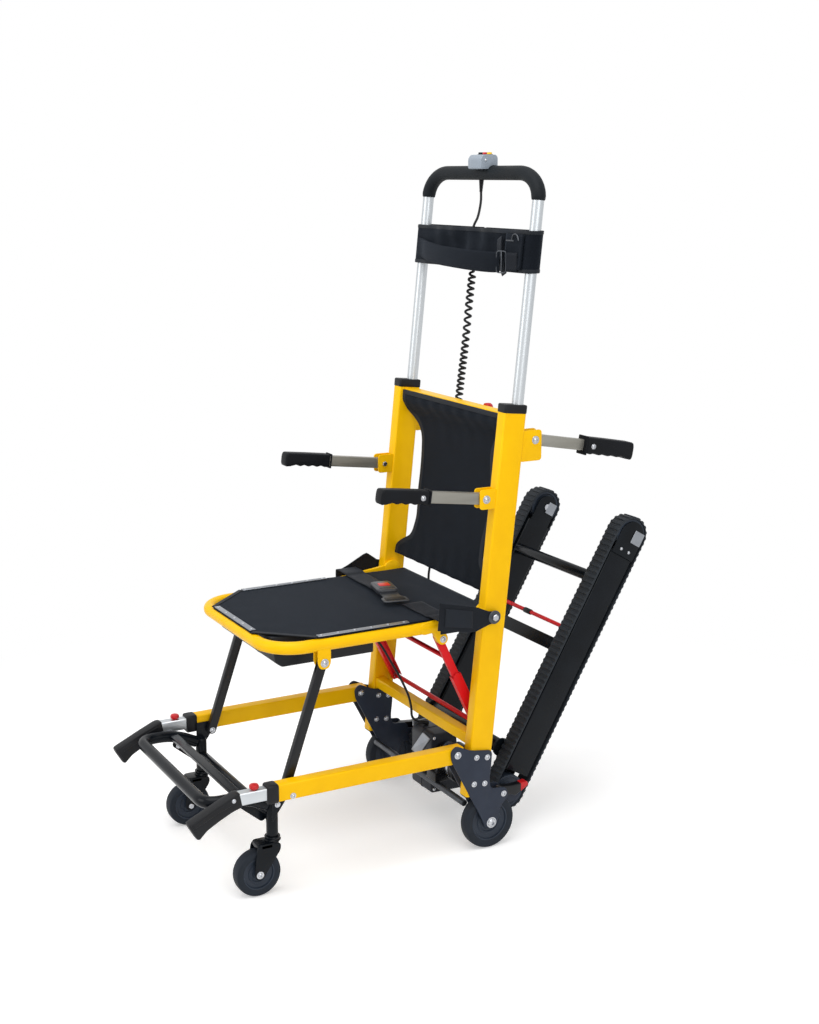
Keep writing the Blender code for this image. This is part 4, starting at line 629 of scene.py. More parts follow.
# The case is open below, from one end of its outline to the other, and its saddle grips the foam there.
bite = np.linspace(math.asin(0.01223 / FOAM_R), math.pi - math.asin(0.008 / FOAM_R), 14)
saddle = spread(box_y + FOAM_R * np.cos(bite), HANDLE_TOP + FOAM_R * np.sin(bite))
shell = rounded([(box_y - 0.014, 1.4802), (box_y - 0.033, 1.4802), (box_y - 0.033, 1.502), (box_y - 0.0265, 1.5108),
    (box_y + 0.0055, 1.5108), (box_y + 0.01, 1.505), (box_y + 0.01, 1.485)], 0.004)[5:-5]
fit("switch_box", "push_handle", grey_abs, [plate(np.vstack([shell, saddle]), (-0.0085, 0.0465), 0.0014)],
    ["control_box"])
# Moulded yellow plastic for the slow-speed button.
yellow_plastic = surface_finish("moulded_yellow_plastic", "#F2C40F", "#E9BA08", 0.34, ior=1.49)
buttons = (("dark", 0.001, nylon), ("red", 0.019, red_plastic), ("yellow", 0.037, yellow_plastic))
fit("switch_box_collars", "push_handle", nylon, [turned((x, box_y - 0.006, 1.5098), Z,
    [(0.0058, 0), (0.0082, 0), (0.008, 0.0013), (0.007, 0.0019), (0.0058, 0.0016)], 28, loop=True)
    for _, x, _ in buttons])
fit("switch_box_screw", "push_handle", zinc, [screw((0.0465, box_y - 0.021, 1.499), 1, 0.0022, 1.2)])
for key, x, finish in buttons:
    fit(key + "_button_cap", key + "_button", finish, [turned((x, box_y - 0.006, 1.508), Z, [(0.0005, 0),
        (0.0055, 0), (0.0055, 0.0066), (0.005, 0.0076), (0.003, 0.008), (0.0005, 0.0079)], 28)], ["button_" + key])

# ---- Head band. A wide polyester band is sewn into a loop round both handle tubes; a narrower forehead strap
# bows forward from it to a steel ladder lock, with its loose end run down across the band.

BAND_Z, BAND_R, BAND_END_X = (1.2685, 1.3535), 0.0185, 0.228
TAIL_TOP, TAIL_LONG, LOCK_Z = 1.338, 0.076, 1.289
quarter = np.linspace(math.pi / 2, -math.pi / 2, 13)[1:-1]
loop_x = np.concatenate([np.linspace(-0.02, BAND_END_X, 26), BAND_END_X + BAND_R * np.cos(quarter),
    np.linspace(BAND_END_X, -BAND_END_X, 110), -BAND_END_X - BAND_R * np.cos(quarter),
    np.linspace(-BAND_END_X, 0.02, 26)])
loop_d = np.concatenate([np.full(26, BAND_R), BAND_R * np.sin(quarter), np.full(110, -BAND_R),
    BAND_R * np.sin(quarter[::-1]), np.linspace(BAND_R, BAND_R + 0.0042, 26)])
x_grid, z_grid = np.meshgrid(loop_x, np.linspace(*BAND_Z, 30))
front = np.clip(-loop_d / BAND_R, 0, 1) * np.cos(np.clip(x_grid / 0.232, -1, 1) * math.pi / 2)
ripple = 0.002 * np.sin(x_grid / 0.0105 + 18 * (z_grid - 1.31))
ripple += 0.0032 * np.sin(x_grid / 0.031 - 45 * (z_grid - 1.3))
ripple += 0.0018 * np.sin((z_grid - 1.268) / 0.0072 + 3 * np.sin(x_grid / 0.06)) * np.abs(np.sin(x_grid / 0.07))
band_grid = spread(x_grid, handle_y(z_grid) + loop_d - front * (0.003 + ripple), z_grid)
head_cloth = cloth("head_band_cloth", "push_handle", sling_weave, band_grid, 0.0024, ["head_band"])
rims = [sweep(band_grid[row, 3:-3], block(0.0021, 0.0042, 0.0018), (0, 0.1, 1)) for row in (1, -2)]
head_rims = fit("head_band_rims", "push_handle", binding_tape, rims)

strap_x, strap_d, strap_z = through([(-0.226, -0.0215, 1.304), (-0.196, -0.026, 1.302), (-0.147, -0.04, 1.298),
    (-0.07, -0.053, 1.293), (0, -0.059, 1.291), (0.067, -0.0595, LOCK_Z), (0.12, -0.056, 1.288),
    (0.155, -0.051, 1.288), (0.173, -0.046, LOCK_Z)], 60).T
strap_row = np.linspace(-1, 1, 9)[:, None]
strap_grid = spread(strap_x, handle_y(strap_z) + strap_d + 0.0022 * strap_row ** 2, strap_z + 0.0215 * strap_row)
# Woven nylon webbing: blue-black and ribbed across. Its 1.2 mm ribs are drawn 2 mm apart so that they show.
webbing = woven("woven_nylon_webbing", "#0A0C10", "#181D25", 0.56, 0.002, 0.08, 0.12)
forehead = cloth("forehead_strap", "push_handle", sling_weave, strap_grid, 0.003)


def ribbon(line, across, half, rows=7):
    """A flat strap: the line repeated at even offsets along across, to half on each side."""
    offset = np.linspace(-half, half, rows)[:, None, None]
    return np.asarray(line, float)[None] + offset * unit(across)


tail_z = np.linspace(TAIL_TOP, 1.262, 24)
down = TAIL_TOP - tail_z
tail_d = -0.0285 - 0.006 * np.sin(down / TAIL_LONG * math.pi)
tail_line = spread(0.142 + 0.42 * down, handle_y(tail_z) + tail_d, tail_z)
loose_tail = cloth("forehead_strap_tail", "push_handle", webbing, ribbon(tail_line, (0.9, 0, 0.42), 0.009), 0.0016)
patch_z = np.linspace(1.274, 1.3475, 8)[:, None]
patch_grid = spread(np.linspace(0.16, 0.2275, 12), handle_y(patch_z) - BAND_R - 0.0055, patch_z)
patch = cloth("head_band_patch", "push_handle", sling_weave, patch_grid, 0.0022)

# Oxidised steel wire and stampings: dull grey.
dull_steel = surface_finish("oxidised_steel_wire", "#56595E", "#484B50", 0.42, metal=0.9,
    grain=0.0006, depth=0.00002, mottle=0.006)
lock_y = float(handle_y(LOCK_Z)) - 0.0475
ladder = sweep(rounded([(0.168, lock_y, 1.2665), (0.186, lock_y + 0.012, 1.2665), (0.186, lock_y + 0.012, 1.3115),
    (0.168, lock_y, 1.3115)], 0.006, 5), circle(0.0013, 8), (0.3, -0.9, 0), loop=True)
rung = bar((0.177, lock_y + 0.006, 1.267), (0.177, lock_y + 0.006, 1.311), circle(0.0012, 8), X)
half_turn = np.linspace(0, math.pi, 13)
ring = sweep(spread(0.2 + 0.013 * np.cos(half_turn), handle_y(1.338) - 0.0275, 1.334 + 0.013 * np.sin(half_turn)),
    circle(0.0016, 8), Y)
ring_foot = bar((0.186, lock_y + 0.012, 1.334), (0.214, lock_y + 0.012, 1.334), circle(0.0016, 8), Y)
fit("head_strap_metal", "push_handle", dull_steel, [ladder, rung, ring, ring_foot])
anchor_x = np.linspace(0.186, 0.214, 8)
anchor_line = spread(anchor_x, handle_y(LOCK_Z) - 0.0355 + 0.01 * (anchor_x - 0.186) / 0.028, LOCK_Z)
anchor = cloth("ladder_lock_anchor", "push_handle", webbing, ribbon(anchor_line, Z, 0.02), 0.002)

# ---- Carry handles. Four flat steel arms swing on bolts at the uprights; each has a moulded grip pushed over
# its end, with four finger grooves below, a flange at its root and a hook at its tip.

# Satin steel: warm grey, with a faint grain along the bar.
satin_steel = surface_finish("satin_grey_steel", "#97958D", "#88867E", 0.4, metal=0.55,
    grain=0.0009, drawn=(1, 0.15, 1), mottle=0.03)
# Moulded thermoplastic rubber: soft black with a pebbled grain.
grip_rubber = surface_finish("moulded_black_grip", "#0A0C10", "#101318", 0.52, ior=1.52,
    grain=0.0014, depth=0.00009, gleam=0.14)
ARM_HALF_WIDE, ARM_HALF_THICK, GRIP_OUTSIDE = 0.0123, 0.009, 0.2515


def link(a, b, radius, steps=10):
    """The outline of a bar with round ends, in (y, z): half a circle about each of its two ends."""
    a, b = np.asarray(a, float), np.asarray(b, float)
    angle = math.atan2(*(b - a)[::-1]) + np.linspace(-math.pi / 2, math.pi / 2, steps)
    bow = radius * spread(np.cos(angle), np.sin(angle))
    return np.vstack([b + bow, a - bow])


def swung(pivot, tilt, points, flip=1):
    """Points (along, up) of an arm turned by tilt about its pivot into (y, z)."""
    along, up = np.asarray(points, float).T
    up = up * flip
    return spread(pivot[0] + along * math.cos(tilt) - up * math.sin(tilt),
        pivot[1] + along * math.sin(tilt) + up * math.cos(tilt))


for end, pivot, tilt, flip, start, reach, half, inside in (
        ("front", CARRY_FRONT, math.pi - math.radians(7.35), -1, 0.141, 0.115, 0.0155, 0.2215),
        ("rear", CARRY_REAR, math.radians(-10), 1, 0.133, 0.128, 0.019, 0.2175)):
    t = np.linspace(0, 1, 57)
    grooves = spread(start + 0.012 + t * (reach - 0.03), -half * 0.96 + 0.0026 * np.sin(4 * math.pi * t) ** 2)
    hook = rounded([(start + along * reach, half * up) for along, up in (
        (0.905, -1.05), (0.975, -1.12), (1, -0.7), (1, 0.45), (0.975, 0.96), (0.5, 1))]
        + [(start + 0.001, half), (start + 0.001, -half * 0.92)], 0.006)
    flange = oblong((start - 0.003, -half * 1.1), (start + 0.0015, half * 1.1), 0.002)
    body = "carry_" + end + "_{0[0]}"
    pair(end + "_carry_arm", body, satin_steel,
        [plate(swung(pivot, tilt, link((0, 0), (start + 0.012, 0), ARM_HALF_WIDE)),
            (UPRIGHT_X - ARM_HALF_THICK, UPRIGHT_X + ARM_HALF_THICK), 0.0022)])
    pair(end + "_carry_grip", body, grip_rubber,
        [plate(swung(pivot, tilt, np.vstack([grooves, hook]), flip), (inside, GRIP_OUTSIDE), 0.0042),
         plate(swung(pivot, tilt, flange, flip), (inside - 0.0012, GRIP_OUTSIDE + 0.0012), 0.003)],
        "carry_handle_" + end)
    pair(end + "_carry_bolt", body, zinc,
        [screw((GRIP_OUTSIDE - 0.0006, *swung(pivot, tilt, (start + 0.017, 0))), 1, 0.0042, 1.4)])

# ---- Seat. A bent yellow tube hinged on the uprights; the seat sling is clamped to it by riveted aluminium
# strips along its sides and front, and the battery is strapped up under it.

SEAT_Z, SEAT_PIVOT = 0.522, (-0.002, 0.539)
STRUT_TOP, BRACE_TOP = (-0.388, 0.485), (-0.106, 0.494)
SLING_FRONT, SLING_HALF = -0.5045, 0.2085
STRIP_X, STRIP_Y, STRIP_Z, RIVET_Z = 0.2015, -0.4975, 0.5408, 0.5417


def symmetric(half):
    """A profile from the half of it whose second coordinates are positive or zero, which starts at the middle."""
    return [(a, -b) for a, b in half[::-1] if b] + half


def both(parts):
    """The parts and their mirror images."""
    return [(points * (side, 1, 1), faces) for _, side in HANDS for points, faces in parts]


def fore_bar(x, front, back, z, profile, edge=0.0008):
    """A bar that runs fore and aft, from y at its front to y at its back."""
    return bar((x, front, z), (x, back, z), profile, Z, edge)


corner = np.linspace(0, math.pi / 2, 16)
half_loop = np.vstack([spread(0.2045, np.linspace(-0.12, -0.41, 10), SEAT_Z),
    spread(0.1295 + 0.075 * np.cos(corner), -0.4235 - 0.075 * np.sin(corner), SEAT_Z)])
seat_loop = sweep(np.vstack([half_loop, half_loop[::-1] * (-1, 1, 1)]), circle(0.0135, 24), Z)
ear = rounded([(-0.403, 0.519), (-0.373, 0.519), (-0.373, 0.484), (-0.379, 0.4715), (-0.397, 0.4715),
    (-0.403, 0.484)], 0.01)
hinge_disc = symmetric([(0.022, 0.0034), (0.0205, 0.0046), (0.0005, 0.0046)])
fit("seat_loop", "seat", yellow_coat, [seat_loop, *both([
    plate(link(SEAT_PIVOT, (-0.15, 0.5225), 0.0128), (0.2085, 0.2165), 0.0015),
    turned((0.2121, *SEAT_PIVOT), X, hinge_disc, 36),
    plate(link((-0.12, SEAT_Z), BRACE_TOP, 0.0125), (0.201, 0.2162), 0.0015),
    plate(ear, (0.2125, 0.2165), 0.0012), plate(ear, (0.1925, 0.1965), 0.0012)])], ["seat_frame"])

cloth_y = np.concatenate([np.linspace(SLING_FRONT, -0.395, 20), np.linspace(-0.389, 0.028, 50)])[:, None]
cloth_half = np.interp(cloth_y, [SLING_FRONT, -0.395, -0.185, -0.155, 0.028],
    [0.1065, SLING_HALF, SLING_HALF, 0.2065, 0.2065])
seat_x = cloth_half * np.linspace(-1, 1, 65)
slack = eased(np.clip((cloth_y + 0.235) / 0.07, 0, 1) * np.clip((0.026 - cloth_y) / 0.05, 0, 1))
slack = slack * np.clip(1 - (seat_x / 0.19) ** 2, 0, 1)
pull = 0.0005 * np.sin(seat_x / 0.011 + 1.7 * np.sin(cloth_y / 0.05)) * np.exp((SLING_FRONT - cloth_y) / 0.05)
pull += 0.0006 * np.sin(cloth_y / 0.017 + 2 * np.sin(seat_x / 0.07)) * np.exp((np.abs(seat_x) - SLING_HALF) / 0.03)
seat_grid = spread(seat_x, cloth_y, 0.5376 - 0.004 * slack + 0.5 * pull)
seat_cloth = cloth("seat_sling_cloth", "seat", sling_weave, seat_grid, 0.003, ["seat_sling"])
# Extruded aluminium flat bar, satin: the strips that clamp the sling.
satin_aluminium = surface_finish("satin_aluminium_strip", "#9A9EA4", "#878B92", 0.36,
    metal=0.9, grain=0.0006, drawn=(1, 0.1, 1), mottle=0.05)
clamp = block(0.0065, 0.0011, 0.001)
fit("seat_clamp_strips", "seat", satin_aluminium,
    [*both([fore_bar(STRIP_X, -0.397, -0.184, STRIP_Z, clamp)]),
     cross_bar(0.101, (STRIP_Y, STRIP_Z), clamp)])
rivets = [(side * STRIP_X, y) for _, side in HANDS for y in np.linspace(-0.388, -0.193, 6)]
rivets += [(x, STRIP_Y) for x in np.linspace(-0.092, 0.092, 5)]
dome = [(0.0036, 0), (0.0034, 0.0007), (0.0024, 0.0013), (0.0012, 0.0016), (0.0003, 0.0016)]
fit("seat_bolts", "seat", zinc, both([
    screw((0.2165, *STRUT_TOP), 1, 0.0062, 1.5), hexagon((0.1925, *STRUT_TOP), -1, 0.007),
    pin((0.204, *STRUT_TOP), 0.0048, -0.0115, 0.0125), screw((0.201, *BRACE_TOP), -1, 0.0058, 1.6),
    screw((0.2162, *BRACE_TOP), 1, 0.0048, 1.6), hexagon((0.2172, *SEAT_PIVOT), 1, 0.0072)])
    + [turned((x, y, RIVET_Z), Z, dome, 12) for x, y in rivets])
hems = [bar((side * 0.205, -0.3985, 0.5396), (side * 0.1075, -0.503, 0.5396), block(0.005, 0.001, 0.0008), Z)
    for _, side in HANDS]
seat_hems = fit("seat_sling_hems", "seat", binding_tape, hems)

# Moulded ABS case: black, with a fine spark texture.
black_abs = surface_finish("moulded_black_abs", "#0E1014", "#16191E", 0.44, ior=1.54,
    grain=0.001, depth=0.00005, gleam=0.22)
BATTERY = rounded([(-0.24, 0.467), (-0.24, 0.5353), (-0.479, 0.5353), (-0.469, 0.478), (-0.454, 0.467)], 0.004)
fit("battery_case", "seat", black_abs, [plate(BATTERY, (-0.15, 0.15), 0.003),
    *(plate(oblong((y - 0.006, 0.4662), (y, 0.469), 0.001), (-0.12, 0.12)) for y in (-0.285, -0.33, -0.375, -0.42)),
    *both([plate(inset(BATTERY, -0.0006), (0.0492, 0.0503), 0.0002)])], ["battery_box"])

# ---- Seat belt. A doubled webbing anchor is bolted outside each seat hinge; from its front edge the belt folds
# over the seat tube to a moulded buckle with a red release and a pressed steel tongue.

LIE, OVER = 0.5414, 0.5452
BELT_RUN = [(0.12, LIE), (0.15, LIE), (0.175, LIE), (0.192, LIE + 0.0006), (0.205, OVER), (0.232, OVER),
    (0.2485, OVER - 0.001), (0.253, OVER - 0.0065), (0.253, 0.518)]
t, w = np.linspace(0, 1, 40)[:, None], np.linspace(-1, 1, 25)
for hand, side, inner, run_y, run_z, run_tall in (
        ("left", 1, 0.083, ([0, 0.62, 0.86, 1], [-0.1395, -0.053, -0.016, 0.0105]),
         ([0, 0.62, 0.86, 1], [0.558, 0.5405, 0.5385, 0.539]),
         ([0, 0.55, 0.66, 0.86, 0.95, 1], [0.03, 0.0285, 0.027, 0.015, 0.0125, 0.007])),
        ("right", -1, 0.062, ([0, 0.78, 0.9, 1], [-0.129, -0.028, -0.013, 0.0105]),
         ([0, 0.55, 0.83, 1], [0.527, 0.542, 0.54, 0.539]),
         ([0, 0.2, 0.62, 0.83, 0.95, 1], [0.012, 0.017, 0.033, 0.015, 0.0125, 0.007]))):
    line_x, line_z = through([(inner, LIE), *BELT_RUN], 70).T
    sway = 0.0006 * np.sin(line_x / 0.012)
    line = spread(line_x, 0.35 * sway - 0.109, line_z + np.clip(sway, 0, None))
    belt = cloth("belt_webbing_" + hand, "seat", webbing, ribbon(line, Y, 0.0245, 9), 0.0018,
        ["seat_belt_" + hand], side)
    grid = spread(0.2548 + 0.0014 * np.sin(math.pi * (w + 1) / 2) * (1 - t),
        np.interp(t, *run_y) + 0.002 * w * (1 - t), np.interp(t, *run_z) + w * np.interp(t, *run_tall))
    anchor = cloth("belt_anchor_" + hand, "seat", webbing, grid, 0.0022, side=side)
    patch = cloth("belt_anchor_patch_" + hand, "seat", binding_tape, grid[4:24, 4:21] + (0.002, 0, 0), 0.0012,
        side=side)
pair("belt_washer", "seat", dull_steel, [turned((0.2562, *SEAT_PIVOT), X, [(0.0005, 0), (0.015, 0),
    (0.015, 0.0014), (0.0142, 0.0022), (0.008, 0.0024), (0.0005, 0.0024)], 28)])
pair("belt_bolt", "seat", zinc, [hexagon((0.2585, *SEAT_PIVOT), 1, 0.0078, 0.0055)])

BUCKLE_X, BUCKLE_Y, BUCKLE_LOW, BUCKLE_YAW = 0.008, -0.128, 0.5438, math.radians(-12)
FLAT = (1, 2, 0)


def on_lap(outline, low, high, edge):
    """A plate drawn flat along the belt, from low to high above the seat, turned and moved to the buckle."""
    points, faces = plate(outline, (BUCKLE_LOW + low, BUCKLE_LOW + high), edge, FLAT)
    x, y, z = points.T
    return spread(BUCKLE_X + x * math.cos(BUCKLE_YAW) - y * math.sin(BUCKLE_YAW),
        BUCKLE_Y + x * math.sin(BUCKLE_YAW) + y * math.cos(BUCKLE_YAW), z), faces


# Moulded acetal: dark grey, smooth.
buckle_grey = surface_finish("moulded_grey_buckle", "#34363B", "#2C2E33", 0.34, ior=1.53,
    grain=0.001, depth=0.00004, gleam=0.3)
case = rounded(symmetric([(0, 0.0205), (-0.01, 0.024), (-0.07, 0.024), (-0.0765, 0.0185)]), 0.006)
tongue = rounded(symmetric([(0.07, 0.029), (0.04, 0.029), (0.03, 0.02), (-0.004, 0.02)]), 0.004)
fit("belt_buckle_case", "seat", buckle_grey, [on_lap(case, 0, 0.0135, 0.004),
    on_lap(oblong((-0.062, -0.0185), (-0.012, 0.0185), 0.004), 0.012, 0.0148, 0.0014)], ["belt_buckle"])
fit("belt_tongue", "seat", dull_steel, [on_lap(tongue, 0.002, 0.0058, 0.001)])
fit("belt_tongue_sleeve", "seat", nylon,
    [on_lap(oblong((0.041, -0.0225), (0.0615, 0.0225), 0.003), 0.0015, 0.0074, 0.0012)])
fit("belt_release_key", "buckle_release", red_plastic,
    [on_lap(oblong((-0.0505, -0.013), (-0.0275, 0.013), 0.003), 0.01, 0.0162, 0.0014)], ["buckle_button"])

# ---- Struts and braces. Black flat bars prop the seat from the front of the rails; behind, red bars slide in
# channels and stay the seat against the uprights.

# Powder-coated steel: black, semi-gloss.
black_coat = surface_finish("powder_coated_black_steel", "#0D0E11", "#141519", 0.3,
    grain=0.0026, gleam=0.3)
# Powder-coated steel: signal red.
red_coat = surface_finish("powder_coated_red_steel", "#DE141E", "#D3101A", 0.36, grain=0.0026,
    gleam=0.22)
STRUT_FOOT, BRACE_FOOT, BRACE_LONG, BRACE_ROD_R = (-0.48, 0.218), np.array((-0.002, 0.275)), 0.2424, 0.0054
brace_way = unit(BRACE_TOP - BRACE_FOOT)
brace_up = np.array((-brace_way[1], brace_way[0]))


def along_brace(points):
    """Points (along, across) of a brace laid on the line from its foot to its top, in (y, z)."""
    points = np.asarray(points, float)
    return BRACE_FOOT + points[..., :1] * brace_way + points[..., 1:] * brace_up


def brace_link(start, end, radius):
    """The outline of a bar with round ends that lies along the brace."""
    return along_brace(link((start, 0), (end, 0), radius))


def brace_strip(start, end, low, tall):
    """The outline of a strip that lies along the brace, from low upwards by tall."""
    return along_brace(oblong((start, low), (end, low + tall), 0.0006))


pair("seat_strut", "struts", black_coat,
    [plate(link(STRUT_FOOT, STRUT_TOP, 0.01), (0.1972, 0.2118), 0.0022)], "strut")
pair("strut_foot_bolt", "struts", zinc, [screw((0.1973, *STRUT_FOOT), -1, 0.0048, 1.4)])
channel = [plate(brace_link(-0.001, 0.132, 0.0105), (0.196, 0.1983), 0.0006)]
channel += [plate(brace_strip(-0.004, 0.138, low, 0.0016), (0.1846, 0.1983), 0.0004) for low in (-0.0115, 0.0099)]
channel += [plate(brace_strip(0.004, 0.132, low, 0.003), (0.183, 0.1846), 0.0004) for low in (-0.0115, 0.0085)]
fit("brace_channel_pair", "brace_channels", red_coat,
    [*both(channel), cross_bar(0.2163, BRACE_FOOT, circle(BRACE_ROD_R))], ["brace_lower"])
fit("brace_channel_bolts", "brace_channels", zinc, both([pin((0.199, *BRACE_FOOT), BRACE_ROD_R, -0.002, 0.0172),
    screw((0.1958, *BRACE_FOOT), -1, 0.005, 1.4), screw((0.1955, *along_brace((0.11, 0))), -1, 0.0034, 1.3)]))
fit("brace_slider_pair", "brace_bars", red_coat,
    [*both([plate(brace_link(0.045, BRACE_LONG, 0.0088), (0.185, 0.1952), 0.0012)]),
     cross_bar(0.185, along_brace((0.183, 0)), circle(BRACE_ROD_R))], ["brace_upper"])
fit("brace_slider_bolts", "brace_bars", zinc, both([screw((0.185, *along_brace((at, 0))), -1, radius, washer)
    for at, radius, washer in ((BRACE_LONG, 0.0048, 1.5), (0.165, 0.0032, 1.3))]))

# ---- Rails. Two yellow tubes pinned between the wheel plates run forward under the seat; from the rubber
# sleeve on each front end slides an aluminium lift bar with a moulded grip, held by a red pull knob.

RAIL_Z, LIFT_Z = 0.233, 0.2345
LIFT_GRIP = [(-0.586, 0.2185), (-0.592, 0.25), (-0.604, 0.25), (-0.64, 0.234), (-0.698, 0.2065), (-0.704, 0.2025),
    (-0.7025, 0.196), (-0.6865, 0.168), (-0.681, 0.167), (-0.665, 0.183), (-0.636, 0.199), (-0.608, 0.212)]
RIDGE = [(-0.6, 0.242), (-0.64, 0.2265), (-0.694, 0.201), (-0.69, 0.194), (-0.64, 0.217), (-0.606, 0.229)]
# Moulded rubber sleeve and grips: black, satin.
sleeve_rubber = surface_finish("moulded_black_rubber", "#0E0F12", "#16171B", 0.46, ior=1.52,
    depth=0.00006, gleam=0.22)
pair("seat_rail", "rails", yellow_coat,
    [fore_bar(UPRIGHT_X, -0.5095, -0.0705, RAIL_Z, block(0.015, 0.0185, 0.004))], "rail")
pair("rail_sleeve", "rails", sleeve_rubber,
    [fore_bar(0.2327, -0.5345, -0.5085, RAIL_Z, block(0.016, 0.0202, 0.006), 0.004)])
pair("rail_bolts", "rails", zinc, [screw((0.247, -0.478, 0.2225), 1, 0.0045, 1.5)])
pair("lift_bar", "lift_{0[0]}", anodised, [fore_bar(UPRIGHT_X, -0.6, -0.351, LIFT_Z, block(0.0116, 0.0129))])
pair("lift_grip", "lift_{0[0]}", sleeve_rubber, [plate(rounded(LIFT_GRIP, 0.006), (0.2198, 0.2442), 0.0045),
    plate(rounded(RIDGE, 0.004), (0.219, 0.245), 0.0009)], "lift_handle")
pair("lift_bolt", "lift_{0[0]}", zinc, [screw((0.2438, -0.607, 0.236), 1, 0.0036, 1.3)])
pair("lift_knob_cap", "lift_knob_{0[0]}", red_plastic, [turned((UPRIGHT_X, -0.558, 0.2478), Z, [(0.0062, 0),
    (0.0062, 0.0018), (0.0096, 0.0028), (0.01, 0.007), (0.0086, 0.0104), (0.005, 0.0118), (0.0005, 0.0121)], 48,
    lobes=8, flute=0.025)], "lift_knob")

# ---- Caster carrier and footrest. Black tubes welded across the rails' fronts hold the two swivel casters, and
# a bent tube loop with a flat cross bar reaches forward as the footrest.

# Powder-coated steel: gloss black.
gloss_coat = surface_finish("gloss_black_steel", "#090D12", "#0F141A", 0.24, grain=0.003,
    depth=0.00002, gleam=0.15)
CASTER, REST_X, REST_Z = (0.202, -0.507), 0.202, 0.222


def bent(points, radius, steps=8):
    """An open run of straight lines whose inner corners are eased from radius before each to radius after it."""
    points = np.asarray(points, float)
    inner = points[1:-1]
    turns = eased_turn(inner + unit(points[:-2] - inner) * radius, inner, inner + unit(points[2:] - inner) * radius,
        steps)
    return np.vstack([points[:1], turns, points[-1:]])


stem = turned((*CASTER, 0), Z, [(0.0005, 0.1255), (0.0118, 0.1255), (0.0125, 0.1262), (0.0125, 0.199),
    (0.0105, 0.2025), (0.0005, 0.203)], 24)
gusset = plate(rounded([(-0.513, 0.157), (-0.467, 0.222), (-0.473, 0.235), (-0.513, 0.235)], 0.004), (0.2127, 0.2162))
stay = plate(link((-0.573, 0.2045), (-0.523, 0.162), 0.0085), (0.1845, 0.1872), 0.0006)
fit("caster_cross", "rails", gloss_coat,
    [cross_bar(0.2015, (CASTER[1], 0.163), circle(0.011, 20)), *both([stem, gusset, stay])], ["caster_carrier"])
rest_half = [(REST_X, -0.5195, 0.1957), (REST_X, -0.575, REST_Z), (REST_X, -0.653, REST_Z)]
rest_loop = bent([*rest_half, *((-x, y, z) for x, y, z in rest_half[::-1])], 0.037, 10)
fit("footrest_loop", "rails", gloss_coat, [sweep(rest_loop, circle(0.013, 24), (0, 0.02, 1)),
    cross_bar(0.1905, (-0.576, 0.2225), block(0.0105, 0.004, 0.002))], ["footrest"])
cap_nut = [(0.0062, 0), (0.0062, 0.001), (0.0044, 0.0014), (0.004, 0.003), (0.0024, 0.0038), (0.0003, 0.0039)]
fit("footrest_bolts", "rails", zinc, [turned((side * x, y, z), (side * way, 0, 0), cap_nut, 16) for _, side in HANDS
    for x, y, z, way in ((0.2148, -0.576, REST_Z, 1), (0.1845, -0.568, 0.2005, -1), (0.1845, -0.527, 0.1655, -1),
        (0.2162, -0.5, 0.196, 1))])

# ---- Casters. Pressed forks turn under the stems on ball races; each holds a wheel with a solid rubber tyre
# on a moulded hub.

# Vulcanised rubber tread: black and dusty matt.
tyre_rubber = surface_finish("vulcanised_black_tyre", "#1B2027", "#242A33", 0.64, ior=1.52,
    grain=0.0016, depth=0.00009, gleam=0.18)
# Moulded nylon wheel centre: dark grey.
hub_nylon = surface_finish("moulded_nylon_hub", "#262D38", "#303844", 0.42, ior=1.53,
    grain=0.001, depth=0.00004, gleam=0.2)
FORK_HALF, FORK_WALL, CASTER_AXLE = 0.0195, 0.0029, (-0.544, 0.05)


def wheel_pair(name, body, node, centre, tyre, tyre_sides, hub, hub_sides):
    """A left and a right wheel, from the outer halves of the profiles of their tyres and hubs."""
    pair(name + "_tyre", body, tyre_rubber, [turned(centre, X, symmetric(tyre), tyre_sides, loop=True)], node)
    pair(name + "_hub", body, hub_nylon, [turned(centre, X, symmetric(hub), hub_sides, loop=True)])


x, out = CASTER[0], CASTER[0] + FORK_HALF
race = turned((*CASTER, 0), Z, [(0.0005, 0.1152), (0.0175, 0.1152), (0.018, 0.1172), (0.016, 0.119), (0.016, 0.1222),
    (0.0168, 0.1232), (0.016, 0.1248), (0.0005, 0.125)], 32)
crown = plate(rounded([(x - FORK_HALF, -0.547), (out, -0.547), (out, -0.508), (x + 0.01, -0.4945),
    (x - 0.01, -0.4945), (x - FORK_HALF, -0.508)], 0.009), (0.1035, 0.1158), 0.003, FLAT)
cheek = rounded([(-0.496, 0.113), (-0.496, 0.098), (-0.533, 0.046), (-0.54, 0.0385), (-0.55, 0.0385), (-0.556, 0.05),
    (-0.551, 0.096), (-0.5465, 0.113)], 0.008)
pair("caster_fork_frame", "fork_{0[0]}", gloss_coat, [race, crown, plate(cheek, (out - FORK_WALL, out)),
    plate(cheek, (x - FORK_HALF, x - FORK_HALF + FORK_WALL))], "caster_fork")
pair("caster_axle", "fork_{0[0]}", zinc, [pin((x, *CASTER_AXLE), 0.004, -FORK_HALF, FORK_HALF, 14),
    screw((out, *CASTER_AXLE), 1, 0.0055, 1.5), hexagon((x - FORK_HALF, *CASTER_AXLE), -1, 0.0068)])
wheel_pair("caster", "caster_{0[0]}", "caster_wheel", (x, *CASTER_AXLE),
    [(0.05, 0), (0.0497, 0.008), (0.0485, 0.0128), (0.0455, 0.0146), (0.038, 0.0142), (0.0345, 0.0125)], 56,
    [(0.0348, 0.0128), (0.0325, 0.0128), (0.031, 0.009), (0.026, 0.0078), (0.0225, 0.0078), (0.0215, 0.0095),
     (0.019, 0.0095), (0.0175, 0.0078), (0.014, 0.0085), (0.0125, 0.0142), (0.0045, 0.0146)], 48)

# ---- Wheel plates. Two laser-cut steel plates a side are bolted over each upright's foot; the rear wheel, the
# rail's pin and the brake pedal are held between them, and a bright tie bar joins the two sides.

